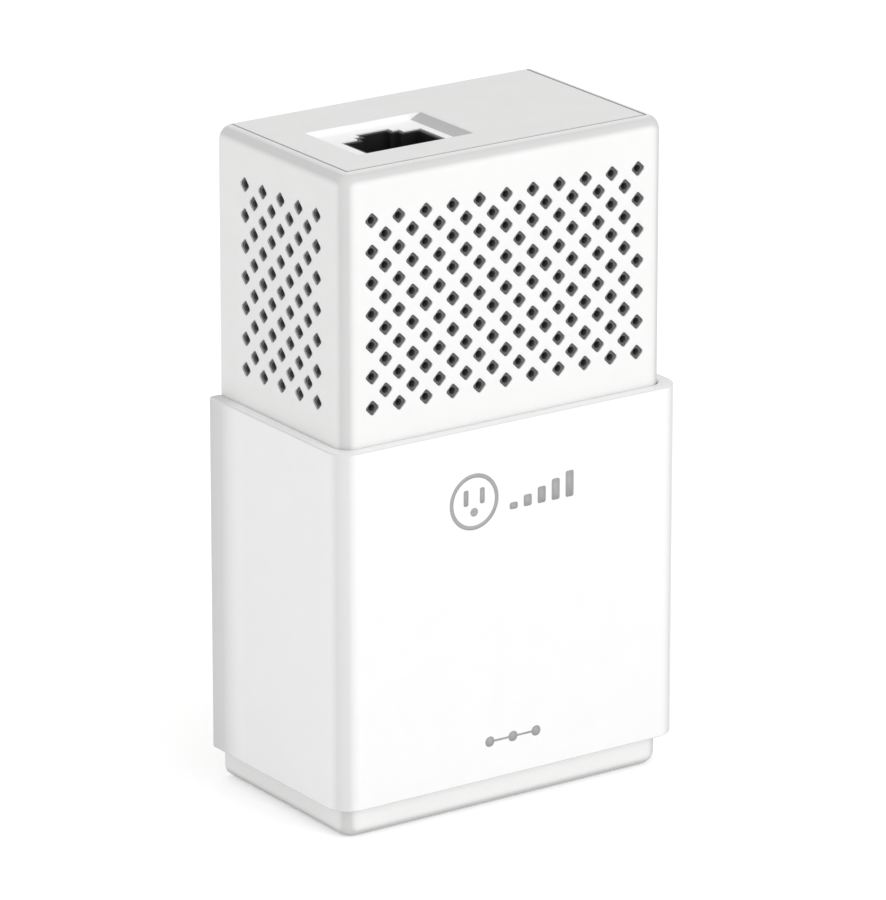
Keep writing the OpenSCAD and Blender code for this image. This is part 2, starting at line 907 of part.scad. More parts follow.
// Signal coil whose core shows a window on each side
module coupling_transformer() {
    lift = (coupling_size[2] - coupling_window[2]) / 2;
    color("khaki")
        difference() {
            chip(coupling_at, coupling_size, main_front);
            for (s = [-1, 1])
                chip(coupling_at + [s * coupling_size[0] / 2, 0], coupling_window, main_front - lift);
        }
}

// ---- parts on the power board ----

core_at = [10, 11.6];
core_size = [15, 13, 13.2];
core_lift = 1.4;
core_leg = 2.6;
core_front = power_front - core_lift - core_size[2];
bobbin_gap = 0.1;
bobbin_h = 13.8;
foot_h = 14.4;
can_groove = 0.6;
bulk_at = [[-13.8, -8.4], [-13.8, 0.4]];
bulk_size = [8, 14];
output_at = [-9, power_high - 4.4];
output_size = [6.3, 11];
mains_at = [-12.4, 9.3];
mains_size = [12, 6, 10.5];
fuse_at = [-6.8, -14.4];
fuse_size = [7.6, 7.6];
varistor_at = [-5.2, 9.4];
varistor_size = [7.4, 3.4];
varistor_lead = 1.8;
bridge_at = [0, -5.4];
bridge_size = [7.4, 5.6, 3.3];
switcher_at = [-14.6, 15.9];
switcher_size = [5, 4.6, 1.6];
opto_at = [-3, 17.4];
opto_size = [4.6, 6.4, 3.5];

// Pair of E cores: two end plates joined by a bridge over the bobbin
module transformer_core() {
    color("dimgray")
        difference() {
            chip(core_at, core_size, power_front - core_lift);
            chip(core_at, [core_size[0] - 2 * core_leg, core_size[1] + 2, power_front - core_front - 2.4],
                power_front);
        }
}

// Bobbin with its taped winding, between the legs of the core
module transformer_bobbin() {
    inside = core_size[0] - 2 * core_leg - 2 * bobbin_gap;
    tall = power_front - core_front - 2.4 - bobbin_gap;
    color("gold") {
        chip(core_at, [inside, bobbin_h, tall], power_front);
        chip(core_at, [core_size[0], foot_h, core_lift - bobbin_gap], power_front);
    }
}

// Round capacitor of size [diameter, height] that stands on a board, grooved near its foot
module can(at, size, face) {
    difference() {
        rod(at[0], face - size[1], at[1], size[0], size[1]);
        difference() {
            rod(at[0], face - 2, at[1], size[0] + 1, can_groove);
            rod(at[0], face - 2 - eps, at[1], size[0] - 0.5, can_groove + 2 * eps);
        }
    }
}

module bulk_capacitors() {
    color("darkslateblue")
        for (at = bulk_at)
            can(at, bulk_size, power_front);
}

module output_capacitor() {
    color("darkslateblue")
        can(output_at, output_size, power_front);
}

module mains_capacitor() {
    color("gold")
        chip(mains_at, mains_size, power_front);
}

choke_at = [12, -11.9];
choke_out = 12.4;
choke_in = 6.4;
choke_t = 5;
choke_wire = 0.7;
choke_turns = 4;
turn_angle = 14;
choke_lift = choke_wire + press_fit;

module choke_core() {
    color("darkgreen")
        difference() {
            rod(choke_at[0], power_front - choke_lift - choke_t, choke_at[1], choke_out, choke_t);
            rod(choke_at[0], power_front - choke_lift - choke_t - eps, choke_at[1], choke_in, choke_t + 2 * eps);
        }
}

// Turns of copper wire on the choke, each a square loop round the ring's section
module choke_windings() {
    wall_w = (choke_out - choke_in) / 2;
    color("chocolate")
        for (side = [-1, 1], i = [-choke_turns : choke_turns])
            translate([choke_at[0], power_front - choke_lift - choke_t / 2, choke_at[1]])
                rotate([0, side * 90 + i * turn_angle, 0])
                    translate([choke_in / 2 + wall_w / 2, 0, 0])
                        difference() {
                            cube([wall_w + 2 * choke_lift, choke_t + 2 * choke_lift, choke_wire], center = true);
                            cube([wall_w + 2 * press_fit, choke_t + 2 * press_fit, 2 * choke_wire], center = true);
                        }
}

module fuse() {
    color("saddlebrown")
        rod(fuse_at[0], power_front - fuse_size[1], fuse_at[1], fuse_size[0], fuse_size[1]);
}

// Disc that lies across the mains, on two leads
module varistor() {
    color("royalblue") {
        translate([varistor_at[0], power_front - varistor_size[0] / 2 - 1.2, varistor_at[1]])
            rotate([0, 90, 0])
                cylinder(d = varistor_size[0], h = varistor_size[1]);
        for (s = [-1, 1])
            rod(varistor_at[0] + varistor_size[1] / 2, power_front - 3, varistor_at[1] + s * varistor_lead,
                lead_d, 3);
    }
}

module bridge_rectifier() {
    color("black")
        chip(bridge_at, bridge_size, power_front);
}

module switcher_chip() {
    color("black")
        chip(switcher_at, switcher_size, power_front);
}

module optocoupler() {
    color("black")
        chip(opto_at, opto_size, power_front);
}

// Stiff insulating sheet between the mains parts and the front wall
module insulation_sheet() {
    front_y = -body_d + wall + 0.05;
    color("ivory")
        box([-board_w / 2 + 0.5, board_w / 2 - 0.5], [front_y, front_y + 0.4], [board_low + 1, power_high]);
}

// ---- output ----

front_housing();
rear_housing();
outer_sleeve();
vent_screen();
pair_button();
light_pipe();
rating_label();
housing_screws();
live_blade();
neutral_blade();
earth_pin();
blade_carrier();
power_board();
main_board();
board_screws();
link_strip();
link_pins();
jack_body();
jack_shield();
jack_contacts();
modem_chip();
thermal_pad();
heat_sink();
phy_chip();
memory_chip();
lan_transformer();
crystal();
status_leds();
switch_body();
switch_plunger();
transformer_core();
transformer_bobbin();
bulk_capacitors();
output_capacitor();
mains_capacitor();
choke_core();
choke_windings();
fuse();
varistor();
bridge_rectifier();
switcher_chip();
coupling_transformer();
optocoupler();
insulation_sheet();
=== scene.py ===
"""Builds the looks of a plug-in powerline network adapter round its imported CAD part.

Shapes are worked out in millimetres in the part's own frame: the origin is midway between the
flat blades on the back face, +X is right as seen from the front, +Y points into the wall and
+Z is up. The mesh builder turns them into metres.
"""

import json
import math

import bmesh
import bpy
import numpy as np
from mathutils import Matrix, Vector

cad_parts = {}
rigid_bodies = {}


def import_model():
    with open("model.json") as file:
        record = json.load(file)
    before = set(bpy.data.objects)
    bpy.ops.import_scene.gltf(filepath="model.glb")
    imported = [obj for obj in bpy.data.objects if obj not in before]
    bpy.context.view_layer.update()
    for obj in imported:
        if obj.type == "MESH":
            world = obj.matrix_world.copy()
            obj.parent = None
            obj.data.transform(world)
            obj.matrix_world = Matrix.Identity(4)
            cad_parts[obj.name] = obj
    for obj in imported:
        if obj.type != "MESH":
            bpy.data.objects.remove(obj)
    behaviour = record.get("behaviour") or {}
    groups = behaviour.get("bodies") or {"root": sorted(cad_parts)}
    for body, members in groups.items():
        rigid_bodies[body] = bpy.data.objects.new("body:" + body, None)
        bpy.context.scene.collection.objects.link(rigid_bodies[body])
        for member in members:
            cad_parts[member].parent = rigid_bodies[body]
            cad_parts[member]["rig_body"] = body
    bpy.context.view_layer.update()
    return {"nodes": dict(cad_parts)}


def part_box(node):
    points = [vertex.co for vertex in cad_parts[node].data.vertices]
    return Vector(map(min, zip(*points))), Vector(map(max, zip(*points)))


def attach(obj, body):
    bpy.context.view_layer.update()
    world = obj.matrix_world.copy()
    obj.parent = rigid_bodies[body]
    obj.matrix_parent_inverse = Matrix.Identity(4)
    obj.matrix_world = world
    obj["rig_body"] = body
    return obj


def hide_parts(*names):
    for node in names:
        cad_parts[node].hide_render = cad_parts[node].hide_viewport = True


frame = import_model()

bl_info = {
    "name": "Powerline adapter",
    "version": (1, 0, 0),
    "blender": (4, 5, 0),
    "location": "View3D > Sidebar > Adapter",
    "description": "Builds a plug-in powerline network adapter round its CAD part",
    "category": "Object",
}

MM = 0.001


# ---- places, in millimetres ----


def corners(node):
    """Lowest and highest corner of a CAD node, as arrays in millimetres."""
    low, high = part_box(node)
    return np.array(low) / MM, np.array(high) / MM


def body_of(node):
    """Name of the body that a CAD node rides on."""
    return frame["nodes"][node]["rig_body"]


SHELL_LOW, SHELL_HIGH = corners("front_housing")
HALF_W = SHELL_HIGH[0]
DEPTH = -SHELL_LOW[1]
Z_LOW, Z_HIGH = SHELL_LOW[2], SHELL_HIGH[2]
SLEEVE_LOW, SLEEVE_HIGH = corners("outer_sleeve")
BUTTON_LOW, BUTTON_HIGH = corners("pair_button")
SIDE_MID = -DEPTH / 2
FOOT_Y = -2.3  # back end of the front shell's bottom, where the back plate's foot begins
# the grey of this seam is painted shade
SEAM_REACH = 0.16  # half the width of the grey seam round the top plate
VENT_DROP = 6.8  # from the top down to the middles of the first row of vents
FRONT_ROWS, RIGHT_ROWS = 13, 6  # the left side has as many rows as the front
FRONT_REACH, SIDE_REACH = 11, 5  # half the width of the vent fields, in vent steps
BUTTON_L, BUTTON_H, BUTTON_GAP = 8.0, 5.9, 0.15  # the cap, and the gap round it
LIGHT_LEVEL, LIGHT_PITCH = Z_LOW + 60.7, 4.0
LIGHT_WINDOW = (2.2, 1.6)
BOSS_X, BOSS_Z = 21.9, (Z_LOW + 5.3, Z_LOW + 54.9)


# ---- settings a user would change ----


def length(name, description, mm):
    """A length setting whose default is given in millimetres."""
    return bpy.props.FloatProperty(
        name=name, description=description, default=mm * MM, unit="LENGTH", precision=5
    )


def amount(name, description, value, **kind):
    """A setting that is neither a length nor a colour."""
    return bpy.props.FloatProperty(name=name, description=description, default=value, **kind)


def colour(name, description, value):
    """A colour setting, linear RGB."""
    return bpy.props.FloatVectorProperty(
        name=name, description=description, default=value, subtype="COLOR", size=3, min=0, max=1
    )


class ShellSettings(bpy.types.PropertyGroup):
    """Sizes and colours of the white mouldings."""

    wall: length("Wall", "Thickness of the front shell", 1.7)
    vent_skin: length("Vent wall", "Thickness of the wall at the vents", 0.6)
    corner: length("Corner radius", "Radius of the upright front corners", 2.4)
    top_edge: length("Top edge", "Radius of the rolled top edge", 2.0)
    bottom_edge: length("Bottom edge", "Radius of the bottom edge", 1.8)
    vent_step: length("Vent step", "Half the spacing of the vent columns", 2.2)
    vent_side: length("Vent side", "Side of one square vent", 1.7)
    vent_corner: length("Vent corner", "Radius of a vent's corners", 0.34)
    soften: length("Soft edges", "Width of the small edge rounds", 0.1)
    sleeve_edge: length("Sleeve edge", "Radius of the sleeve's edges", 0.28)
    shell_colour: colour("Shell", "Colour of the satin shell", (0.83, 0.83, 0.825))
    sleeve_colour: colour("Sleeve", "Colour of the glossy sleeve", (0.88, 0.88, 0.88))
    screen_colour: colour("Screen", "Colour of the perforated screen", (0.105, 0.105, 0.108))
    mark_colour: colour("Marks", "Colour of the printed marks", (0.38, 0.38, 0.38))


class StageSettings(bpy.types.PropertyGroup):
    """Light, floor and camera."""

    floor_colour: colour("Floor", "Colour of the floor and backdrop", (0.9, 0.9, 0.9))
    sky: amount("Sky", "Strength of the white surroundings", 0.82, min=0)
    glow: amount("Backdrop glow", "How much the backdrop shines on its own", 0.3, min=0)
    key: amount("Key light", "Power of the large light", 3.9, min=0, unit="POWER")
    fill: amount("Fill light", "Power of the small light", 1.3, min=0, unit="POWER")
    azimuth: amount("Azimuth", "Camera's turn round the adapter", math.radians(-34.5), subtype="ANGLE")
    elevation: amount("Elevation", "Camera's height as an angle", math.radians(18.5), subtype="ANGLE")
    distance: amount("Distance", "Camera's distance", 1.0, min=0.1, unit="LENGTH")
    lens: amount("Lens", "Focal length of the camera in millimetres", 288, min=10)


# ---- meshes ----


def build(name, points, *faces):
    """Mesh object from points in millimetres and arrays of faces, each array with its own side count."""
    faces = [np.asarray(f) for f in faces if len(f)]
    loops = np.concatenate([f.ravel() for f in faces]).astype(np.int32)
    sides = np.concatenate([np.full(len(f), f.shape[1]) for f in faces])
    starts = np.concatenate([[0], np.cumsum(sides)[:-1]]).astype(np.int32)
    mesh = bpy.data.meshes.new(name)
    mesh.vertices.add(len(points))
    mesh.vertices.foreach_set("co", (np.asarray(points) * MM).astype(np.float32).ravel())
    mesh.loops.add(len(loops))
    mesh.loops.foreach_set("vertex_index", loops)
    mesh.polygons.add(len(sides))
    mesh.polygons.foreach_set("loop_start", starts)
    mesh.polygons.foreach_set("use_smooth", np.ones(len(sides), bool))
    mesh.update(calc_edges=True)
    if mesh.validate():
        raise RuntimeError(f"{name}: the mesh has bad faces")
    obj = bpy.data.objects.new(name, mesh)
    bpy.context.scene.collection.objects.link(obj)
    return obj


def weld(points, *faces):
    """Points that share a place to a micrometre become one point, and the faces follow."""
    _, first, inverse = np.unique(np.round(points, 3), axis=0, return_index=True, return_inverse=True)
    return (np.asarray(points)[first], *(inverse.ravel()[f] for f in faces))


def gather(*parts):
    """Joins (points, faces, ...) parts that all have the same face arrays into one such part."""
    counts = np.cumsum([0] + [len(p[0]) for p in parts])
    points = np.concatenate([p[0] for p in parts])
    faces = [
        np.concatenate([p[i] + n for p, n in zip(parts, counts)]) for i in range(1, len(parts[0]))
    ]
    return (points, *faces)


def surface(x, y, z):
    """Points of a surface, row by row, from its three coordinates, each spread over the whole grid."""
    return np.stack(np.broadcast_arrays(x, y, z), -1).reshape(-1, 3)


def grid_faces(rows, cols, wrap_rows=False, wrap_cols=False):
    """Quads of a rows by cols grid of points; a wrapped direction joins its last line to its first."""
    r = np.arange(rows if wrap_rows else rows - 1)
    c = np.arange(cols if wrap_cols else cols - 1)
    r, c = np.meshgrid(r, c, indexing="ij")
    r2, c2 = (r + 1) % rows, (c + 1) % cols
    return np.stack([r * cols + c, r2 * cols + c, r2 * cols + c2, r * cols + c2], -1).reshape(-1, 4)


def outward(part):
    """The same part with every face turned round if its solid is inside out, told by its volume."""
    points, *faces = part
    volume = 0.0
    for f in faces:
        a, b, c = points[f[:, 0]], points[f[:, 1:-1]], points[f[:, 2:]]
        volume += np.einsum("ij,ikj->", a, np.cross(b, c))
    return part if volume > 0 else (points, *(f[:, ::-1] for f in faces))


def moved(part, at):
    """The part shifted by a point."""
    return (part[0] + np.asarray(at, float), *part[1:])


def repeated(part, places):
    """Copies of a part, one at each place."""
    return gather(*(moved(part, at) for at in places))


def next_round(n):
    """The indices of a ring of n points, and those of each one's next neighbour."""
    i = np.arange(n)
    return i, (i + 1) % n


def end_caps(n, m):
    """The two ends of a tube of n rings of m points, as one face each."""
    return np.stack([np.arange(m)[::-1], (n - 1) * m + np.arange(m)])


def round_section(w, h, r, steps=5):
    """Closed outline of a w by h rectangle whose corners are quarter circles of radius r."""
    a = np.linspace(0, np.pi / 2, steps + 1)
    turns = (a[None] + np.arange(4)[:, None] * np.pi / 2).ravel()
    cx = np.repeat([1, -1, -1, 1], steps + 1) * (w / 2 - r)
    cy = np.repeat([1, 1, -1, -1], steps + 1) * (h / 2 - r)
    return np.stack([cx + r * np.cos(turns), cy + r * np.sin(turns)], -1)


def sweep(path, section, side):
    """A closed section carried along a path. The section's first axis keeps to the direction side,
    and its second is square to that and to the path. Both ends are capped."""
    path, section, side = np.asarray(path, float), np.asarray(section, float), np.asarray(side, float)
    way = np.gradient(path, axis=0)
    way /= np.linalg.norm(way, axis=1)[:, None]
    a = side - way * (way @ side)[:, None]
    a /= np.linalg.norm(a, axis=1)[:, None]
    b = np.cross(way, a)
    points = path[:, None] + section[None, :, :1] * a[:, None] + section[None, :, 1:] * b[:, None]
    n, m = len(path), len(section)
    return points.reshape(-1, 3), grid_faces(n, m, wrap_cols=True), end_caps(n, m)


def arc_path(points, radius, steps=6):
    """Polyline through points whose inner corners are rounded by parabolas that start and end where an
    arc of that radius would, and take up less than half of either stretch."""
    points = np.asarray(points, float)
    out = [points[:1]]
    t = np.linspace(0, 1, steps + 1)[:, None]
    most = 0.45
    for a, b, c in zip(points[:-2], points[1:-1], points[2:]):
        before, after = np.linalg.norm(a - b), np.linalg.norm(c - b)
        u, v = (a - b) / before, (c - b) / after
        half = math.acos(np.clip(u @ v, -1, 1)) / 2
        reach = min(radius / math.tan(half), most * before, most * after)
        p, q = b + u * reach, b + v * reach
        out.append((1 - t) ** 2 * p + 2 * t * (1 - t) * b + t**2 * q)
    out.append(points[-1:])
    return np.concatenate(out)


def soften(obj, width, segments=2, angle=35):
    """Rounds an object's sharp edges by a width in millimetres and evens its shading."""
    bevel = obj.modifiers.new("soft_edges", "BEVEL")
    bevel.width = width * MM
    bevel.segments = segments
    bevel.limit_method = "ANGLE"
    bevel.angle_limit = math.radians(angle)
    bevel.use_clamp_overlap = True
    bevel.miter_outer = "MITER_ARC"
    even = obj.modifiers.new("even_shading", "WEIGHTED_NORMAL")
    even.weight = 100
    even.keep_sharp = True
    return obj


def place(obj, slot, node, replaces=True, look=None):
    """Gives a piece its slot and that slot's finish, or another look, and puts it on the body of a CAD
    node. The piece replaces the node, unless it only goes with it."""
    obj.data.materials.clear()
    obj.data.materials.append(material(look or slot))
    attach(obj, body_of(node))
    if replaces:
        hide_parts(node)
    return obj


def softened(node, name, width, slot, angle=35, segments=2):
    """A copy of a CAD node with its triangles merged, its flat areas joined and its edges rounded."""
    mesh = frame["nodes"][node].data.copy()
    mesh.name = name
    bm = bmesh.new()
    bm.from_mesh(mesh)
    bmesh.ops.remove_doubles(bm, verts=bm.verts, dist=2e-6)
    bmesh.ops.dissolve_limit(
        bm, angle_limit=math.radians(0.6), use_dissolve_boundaries=False, verts=bm.verts, edges=bm.edges
    )
    for face in bm.faces:
        face.smooth = True
    bm.to_mesh(mesh)
    bm.free()
    obj = bpy.data.objects.new(name, mesh)
    bpy.context.scene.collection.objects.link(obj)
    place(obj, slot, node)
    return soften(obj, width, segments, angle)


def paint(node, name):
    """Gives a CAD node that stays in view its finish."""
    for slot in frame["nodes"][node].material_slots:
        slot.material = material(name)


# ---- shader node groups ----


def add(tree, kind, values=None, **settings):
    """A shader node with its settings; each value is a number or the socket that feeds it."""
    made = tree.nodes.new(kind)
    for key, value in settings.items():
        setattr(made, key, value)
    for key, value in (values or {}).items():
        if isinstance(value, bpy.types.NodeSocket):
            tree.links.new(value, made.inputs[key])
        else:
            made.inputs[key].default_value = value
    return made


def maths(tree, operation, *values, clamp=False):
    """A Math node's result."""
    made = add(tree, "ShaderNodeMath", dict(enumerate(values)), operation=operation, use_clamp=clamp)
    return made.outputs[0]


def times(tree, first, *others):
    """The product of two or more values."""
    for other in others:
        first = maths(tree, "MULTIPLY", first, other)
    return first


def plus(tree, first, *others):
    """The sum of two or more values."""
    for other in others:
        first = maths(tree, "ADD", first, other)
    return first


def xyz(tree, vector):
    """The three parts of a vector."""
    return add(tree, "ShaderNodeSeparateXYZ", {0: vector}).outputs


def spread(tree, value, low, high, to_low=0.0, to_high=1.0):
    """A value mapped from low..high to to_low..to_high and held there."""
    made = add(tree, "ShaderNodeMapRange", {0: value, 1: low, 2: high, 3: to_low, 4: to_high})
    return made.outputs[0]


def blend(tree, mask, a, b):
    """Colour a where the mask is 0 and b where it is 1."""
    made = add(tree, "ShaderNodeMix", data_type="RGBA")
    for socket, value in zip((made.inputs[0], made.inputs[6], made.inputs[7]), (mask, a, b)):
        if isinstance(value, bpy.types.NodeSocket):
            tree.links.new(value, socket)
        else:
            socket.default_value = (*value[:3], 1)
    return made.outputs[2]


def millimetres(tree, turn=(0, 0, 0), scale=(1, 1, 1)):
    """Object coordinates in millimetres, turned and stretched."""
    at = add(tree, "ShaderNodeTexCoord").outputs["Object"]
    values = {"Vector": at, "Rotation": turn, "Scale": tuple(s / MM for s in scale)}
    return add(tree, "ShaderNodeMapping", values).outputs[0]


def noise(tree, vector, per_mm, detail=2.0, rough=0.5):
    """Noise of so many features a millimetre."""
    values = {"Vector": vector, "Detail": detail, "Roughness": rough, "Scale": per_mm}
    return add(tree, "ShaderNodeTexNoise", values).outputs[0]


def moulded_grain(tree, given):
    """Moulded surface grain: two sizes of noise, with a faint long wave where the wall has sunk."""
    at = millimetres(tree)
    fine = noise(tree, at, given["Grains per mm"], 3, 0.6)
    wave = times(tree, noise(tree, at, 0.06, 1), given["Waviness"])
    mottle = spread(tree, noise(tree, at, 0.22, 3, 0.55), 0.35, 0.65)
    return {"Height": plus(tree, fine, wave), "Mottle": mottle}


def handling(tree, given):
    """Marks of use: broad smudges, and hairline scratches from noise drawn out along two directions."""
    smudge = spread(tree, noise(tree, millimetres(tree), 0.11, 4, 0.62), 0.42, 0.68)
    lines = []
    for turn, across in (((0.3, 0.9, 0.35), 9), ((1.1, -0.5, -0.6), 11)):
        drawn = noise(tree, millimetres(tree, turn, (across, 0.09, 0.09)), 1, 2)
        gate = noise(tree, millimetres(tree, turn), 0.13, 1)
        lines.append(times(tree, spread(tree, drawn, 0.70, 0.74), spread(tree, gate, 0.5, 0.62)))
    scratch = times(tree, maths(tree, "MAXIMUM", *lines), given["Scratches"])
    return {"Smudge": smudge, "Scratch": scratch}


def settled_dust(tree, given):
    """Dust that settles where a surface faces up, broken up by fine noise."""
    up = xyz(tree, add(tree, "ShaderNodeNewGeometry").outputs["Normal"])[2]
    flecks = spread(tree, noise(tree, millimetres(tree), 1.6, 5, 0.7), 0.42, 0.72)
    return {"Dust": times(tree, spread(tree, up, 0.35, 1.0), flecks, given["Amount"])}


def edge_wear(tree, given):
    """Wear on raised edges: where the surface bends out sharply, broken up by noise."""
    bend = add(tree, "ShaderNodeNewGeometry").outputs["Pointiness"]
    broken = spread(tree, noise(tree, millimetres(tree), 0.9, 3, 0.6), 0.38, 0.62)
    return {"Wear": times(tree, spread(tree, bend, 0.52, 0.60), broken, given["Amount"])}


def painted_edge_shade(tree, given):
    """Painted shade greys the rounded edges of a thin white moulding: 0 on flats that face an axis, and
    rising with the turn of the surface away from the nearest axis."""
    normal = add(tree, "ShaderNodeNewGeometry").outputs["Normal"]
    facing = add(tree, "ShaderNodeVectorMath", {0: normal}, operation="ABSOLUTE").outputs[0]
    x, y, z = xyz(tree, facing)
    most = maths(tree, "MAXIMUM", maths(tree, "MAXIMUM", x, y), z)
    return {"Painted shade": times(tree, spread(tree, most, 0.995, 0.86), given["Amount"])}


# Each shared group's maker and its inputs with their defaults. A maker takes the group's tree and
# inputs, and returns what the group puts out.
SHARED_GROUPS = {
    "moulded grain": (moulded_grain, {"Grains per mm": 4, "Waviness": 0.2}),
    "handling": (handling, {"Scratches": 0.5}),
    "settled dust": (settled_dust, {"Amount": 0.3}),
    "edge wear": (edge_wear, {"Amount": 0.5}),
    "painted edge shade": (painted_edge_shade, {"Amount": 0.5}),
}


def group_named(name):
    """One of the shared groups, built the first time it is asked for."""
    if name in bpy.data.node_groups:
        return bpy.data.node_groups[name]
    maker, inputs = SHARED_GROUPS[name]
    made = bpy.data.node_groups.new(name, "ShaderNodeTree")
    for label, default in inputs.items():
        socket = made.interface.new_socket(label, in_out="INPUT", socket_type="NodeSocketFloat")
        socket.default_value = default
    outputs = maker(made, made.nodes.new("NodeGroupInput").outputs)
    for label in outputs:
        made.interface.new_socket(label, in_out="OUTPUT", socket_type="NodeSocketFloat")
    ends = made.nodes.new("NodeGroupOutput").inputs
    for label, value in outputs.items():
        made.links.new(value, ends[label])
    return made


def use(tree, name, **values):
    """Places a shared group in a material with its own values and returns its outputs."""
    made = add(tree, "ShaderNodeGroup", node_tree=group_named(name))
    for key, value in values.items():
        made.inputs[key.replace("_", " ")].default_value = value
    return made.outputs


# ---- patterns: each takes the tree and the tone so far, and returns (tone, roughness shift, height) ----


def stripes(tree, along, period, share):
    """1 on stripes across a coordinate that take that share of each period, in millimetres."""
    return maths(tree, "LESS_THAN", maths(tree, "FRACT", maths(tree, "DIVIDE", along, period)), share)


def board_pattern(tree, tone):
    """Solder mask over copper: broad pours and thin tracks stand out a little, with bright pads."""
    at = millimetres(tree)
    x, _, z = xyz(tree, at)
    cell = add(
        tree, "ShaderNodeTexVoronoi", {"Vector": at, "Scale": 0.55, "Randomness": 0.8}, distance="MANHATTAN"
    )
    pour = spread(tree, cell.outputs["Distance"], 0.55, 0.6)
    track = times(tree, stripes(tree, x, 1.1, 0.42), stripes(tree, z, 7.3, 0.55))
    copper = maths(tree, "MAXIMUM", pour, track)
    via = add(tree, "ShaderNodeTexVoronoi", {"Vector": at, "Scale": 0.34, "Randomness": 1.0})
    pad = spread(tree, via.outputs["Distance"], 0.17, 0.15)
    raised_mask, solder = (0.03, 0.19, 0.07), (0.62, 0.60, 0.55)
    tone = blend(tree, times(tree, copper, 0.5), tone, raised_mask)
    return blend(tree, pad, tone, solder), times(tree, pad, -0.1), times(tree, copper, 2.0)


def tape_pattern(tree, tone):
    """Overlapping turns of tape: a thin dark line at each lap."""
    lap = stripes(tree, xyz(tree, millimetres(tree))[1], 4.1, 0.04)
    lap_tone = (0.35, 0.22, 0.03)
    return blend(tree, lap, tone, lap_tone), None, times(tree, lap, -3)


def can_pattern(tree, tone):
    """Shrink sleeve with pale bands along its side."""
    band = stripes(tree, xyz(tree, millimetres(tree))[0], 6.3, 0.16)
    band_tone = (0.62, 0.64, 0.66)
    return blend(tree, band, tone, band_tone), None, None


def label_pattern(tree, tone):
    """A plain film label: inside a clear margin, rows of grey bars stand in place of lines of print. A
    row is cut into cells, and a random value for each cell leaves some of them out."""
    low, high = corners("rating_label")
    side_margin, end_margin, row, cell, left_out = 2.0, 2.4, 2.6, 2.3, 0.3
    x, _, z = xyz(tree, millimetres(tree))
    z = maths(tree, "SUBTRACT", z, low[2])
    column_no = maths(tree, "FLOOR", maths(tree, "DIVIDE", x, cell))
    row_no = maths(tree, "FLOOR", maths(tree, "DIVIDE", z, row))
    cell_no = add(tree, "ShaderNodeCombineXYZ", {0: column_no, 1: row_no}).outputs[0]
    chance = add(tree, "ShaderNodeTexWhiteNoise", {"Vector": cell_no}).outputs[0]
    from_side = maths(tree, "SUBTRACT", high[0] - side_margin, maths(tree, "ABSOLUTE", x))
    mask = times(
        tree,
        stripes(tree, z, row, 0.36),
        maths(tree, "GREATER_THAN", chance, left_out),
        maths(tree, "GREATER_THAN", from_side, 0.0),
        maths(tree, "GREATER_THAN", z, end_margin),
        maths(tree, "LESS_THAN", z, high[2] - low[2] - end_margin),
    )
    bar_tone = (0.24, 0.25, 0.27)
    return blend(tree, mask, tone, bar_tone), None, None


def brushed_pattern(tree, tone):
    """Drawn metal: fine lines along the length."""
    line = noise(tree, millimetres(tree, scale=(9, 0.25, 9)), 1, 2)
    return tone, times(tree, spread(tree, line, 0.35, 0.65), 0.12), times(tree, line, 1.4)


def speckle_pattern(tree, tone):
    """Pressed powder: pale specks."""
    speck = spread(tree, noise(tree, millimetres(tree), 3.2, 2, 0.7), 0.6, 0.68)
    speck_tone = (0.16, 0.16, 0.17)
    return blend(tree, speck, tone, speck_tone), None, times(tree, speck, 0.6)


def painted_shell_light_and_shade(tree, tone):
    """Shell moulding: painted shade in the seam round the top plate, painted light that makes the port's
    pocket a brighter white, and painted shade on its right ramp."""
    inset = bpy.context.scene.adapter_shell.top_edge / MM
    painted_seam_shade, painted_pocket_light, painted_ramp_shade = ((grey,) * 3 for grey in (0.10, 0.97, 0.52))
    rim_depth, pocket_depth = 0.6, 2.5
    x, y, z = xyz(tree, millimetres(tree))
    past_side = maths(tree, "SUBTRACT", maths(tree, "ABSOLUTE", x), HALF_W - inset)
    past_front = maths(tree, "SUBTRACT", times(tree, y, -1.0), DEPTH - inset)
    past = maths(tree, "MAXIMUM", past_side, past_front)
    # painted shade: a grey line along the seam round the top plate
    line = spread(tree, maths(tree, "ABSOLUTE", past), SEAM_REACH, SEAM_REACH / 2)
    line = times(tree, line, maths(tree, "GREATER_THAN", z, Z_HIGH - rim_depth))
    tone = blend(tree, times(tree, line, 0.75), tone, painted_seam_shade)
    inner = maths(tree, "LESS_THAN", past, -1.0)
    sunk = times(tree, spread(tree, z, Z_HIGH - 0.02, Z_HIGH - 0.1), inner)
    pocket = times(tree, sunk, maths(tree, "GREATER_THAN", z, Z_HIGH - pocket_depth))
    # painted light: the port's pocket is made a brighter white than the rest of the shell
    tone = blend(tree, pocket, tone, painted_pocket_light)
    # painted shade: the ramp at the pocket's right, which faces left, is darkened
    tilt = xyz(tree, add(tree, "ShaderNodeNewGeometry").outputs["True Normal"])[0]
    ramp = times(tree, spread(tree, tilt, -0.25, -0.4), pocket)
    return blend(tree, ramp, tone, painted_ramp_shade), None, None


def weave_pattern(tree, tone):
    """Pressed fibre: long pale threads in two directions."""
    threads = [
        noise(tree, millimetres(tree, scale=scale), 1, 2) for scale in ((5, 5, 0.4), (0.4, 5, 5))
    ]
    thread = spread(tree, maths(tree, "MAXIMUM", *threads), 0.58, 0.7)
    thread_tone = (0.80, 0.76, 0.66)
    return blend(tree, thread, tone, thread_tone), None, times(tree, thread, 0.8)


# ---- finishes ----

DUST_TONE = (0.56, 0.54, 0.50)
SCRATCH_DEPTH = 0.8  # as a share of the grain's
SCRATCH_ROUGH, WEAR_ROUGH, DUST_ROUGH = 0.25, -0.12, 0.35  # what each adds to the roughness
FINISHES = {}


def scaled(tone, share):
    """A tone made darker or lighter."""
    return tuple(c * share for c in tone)


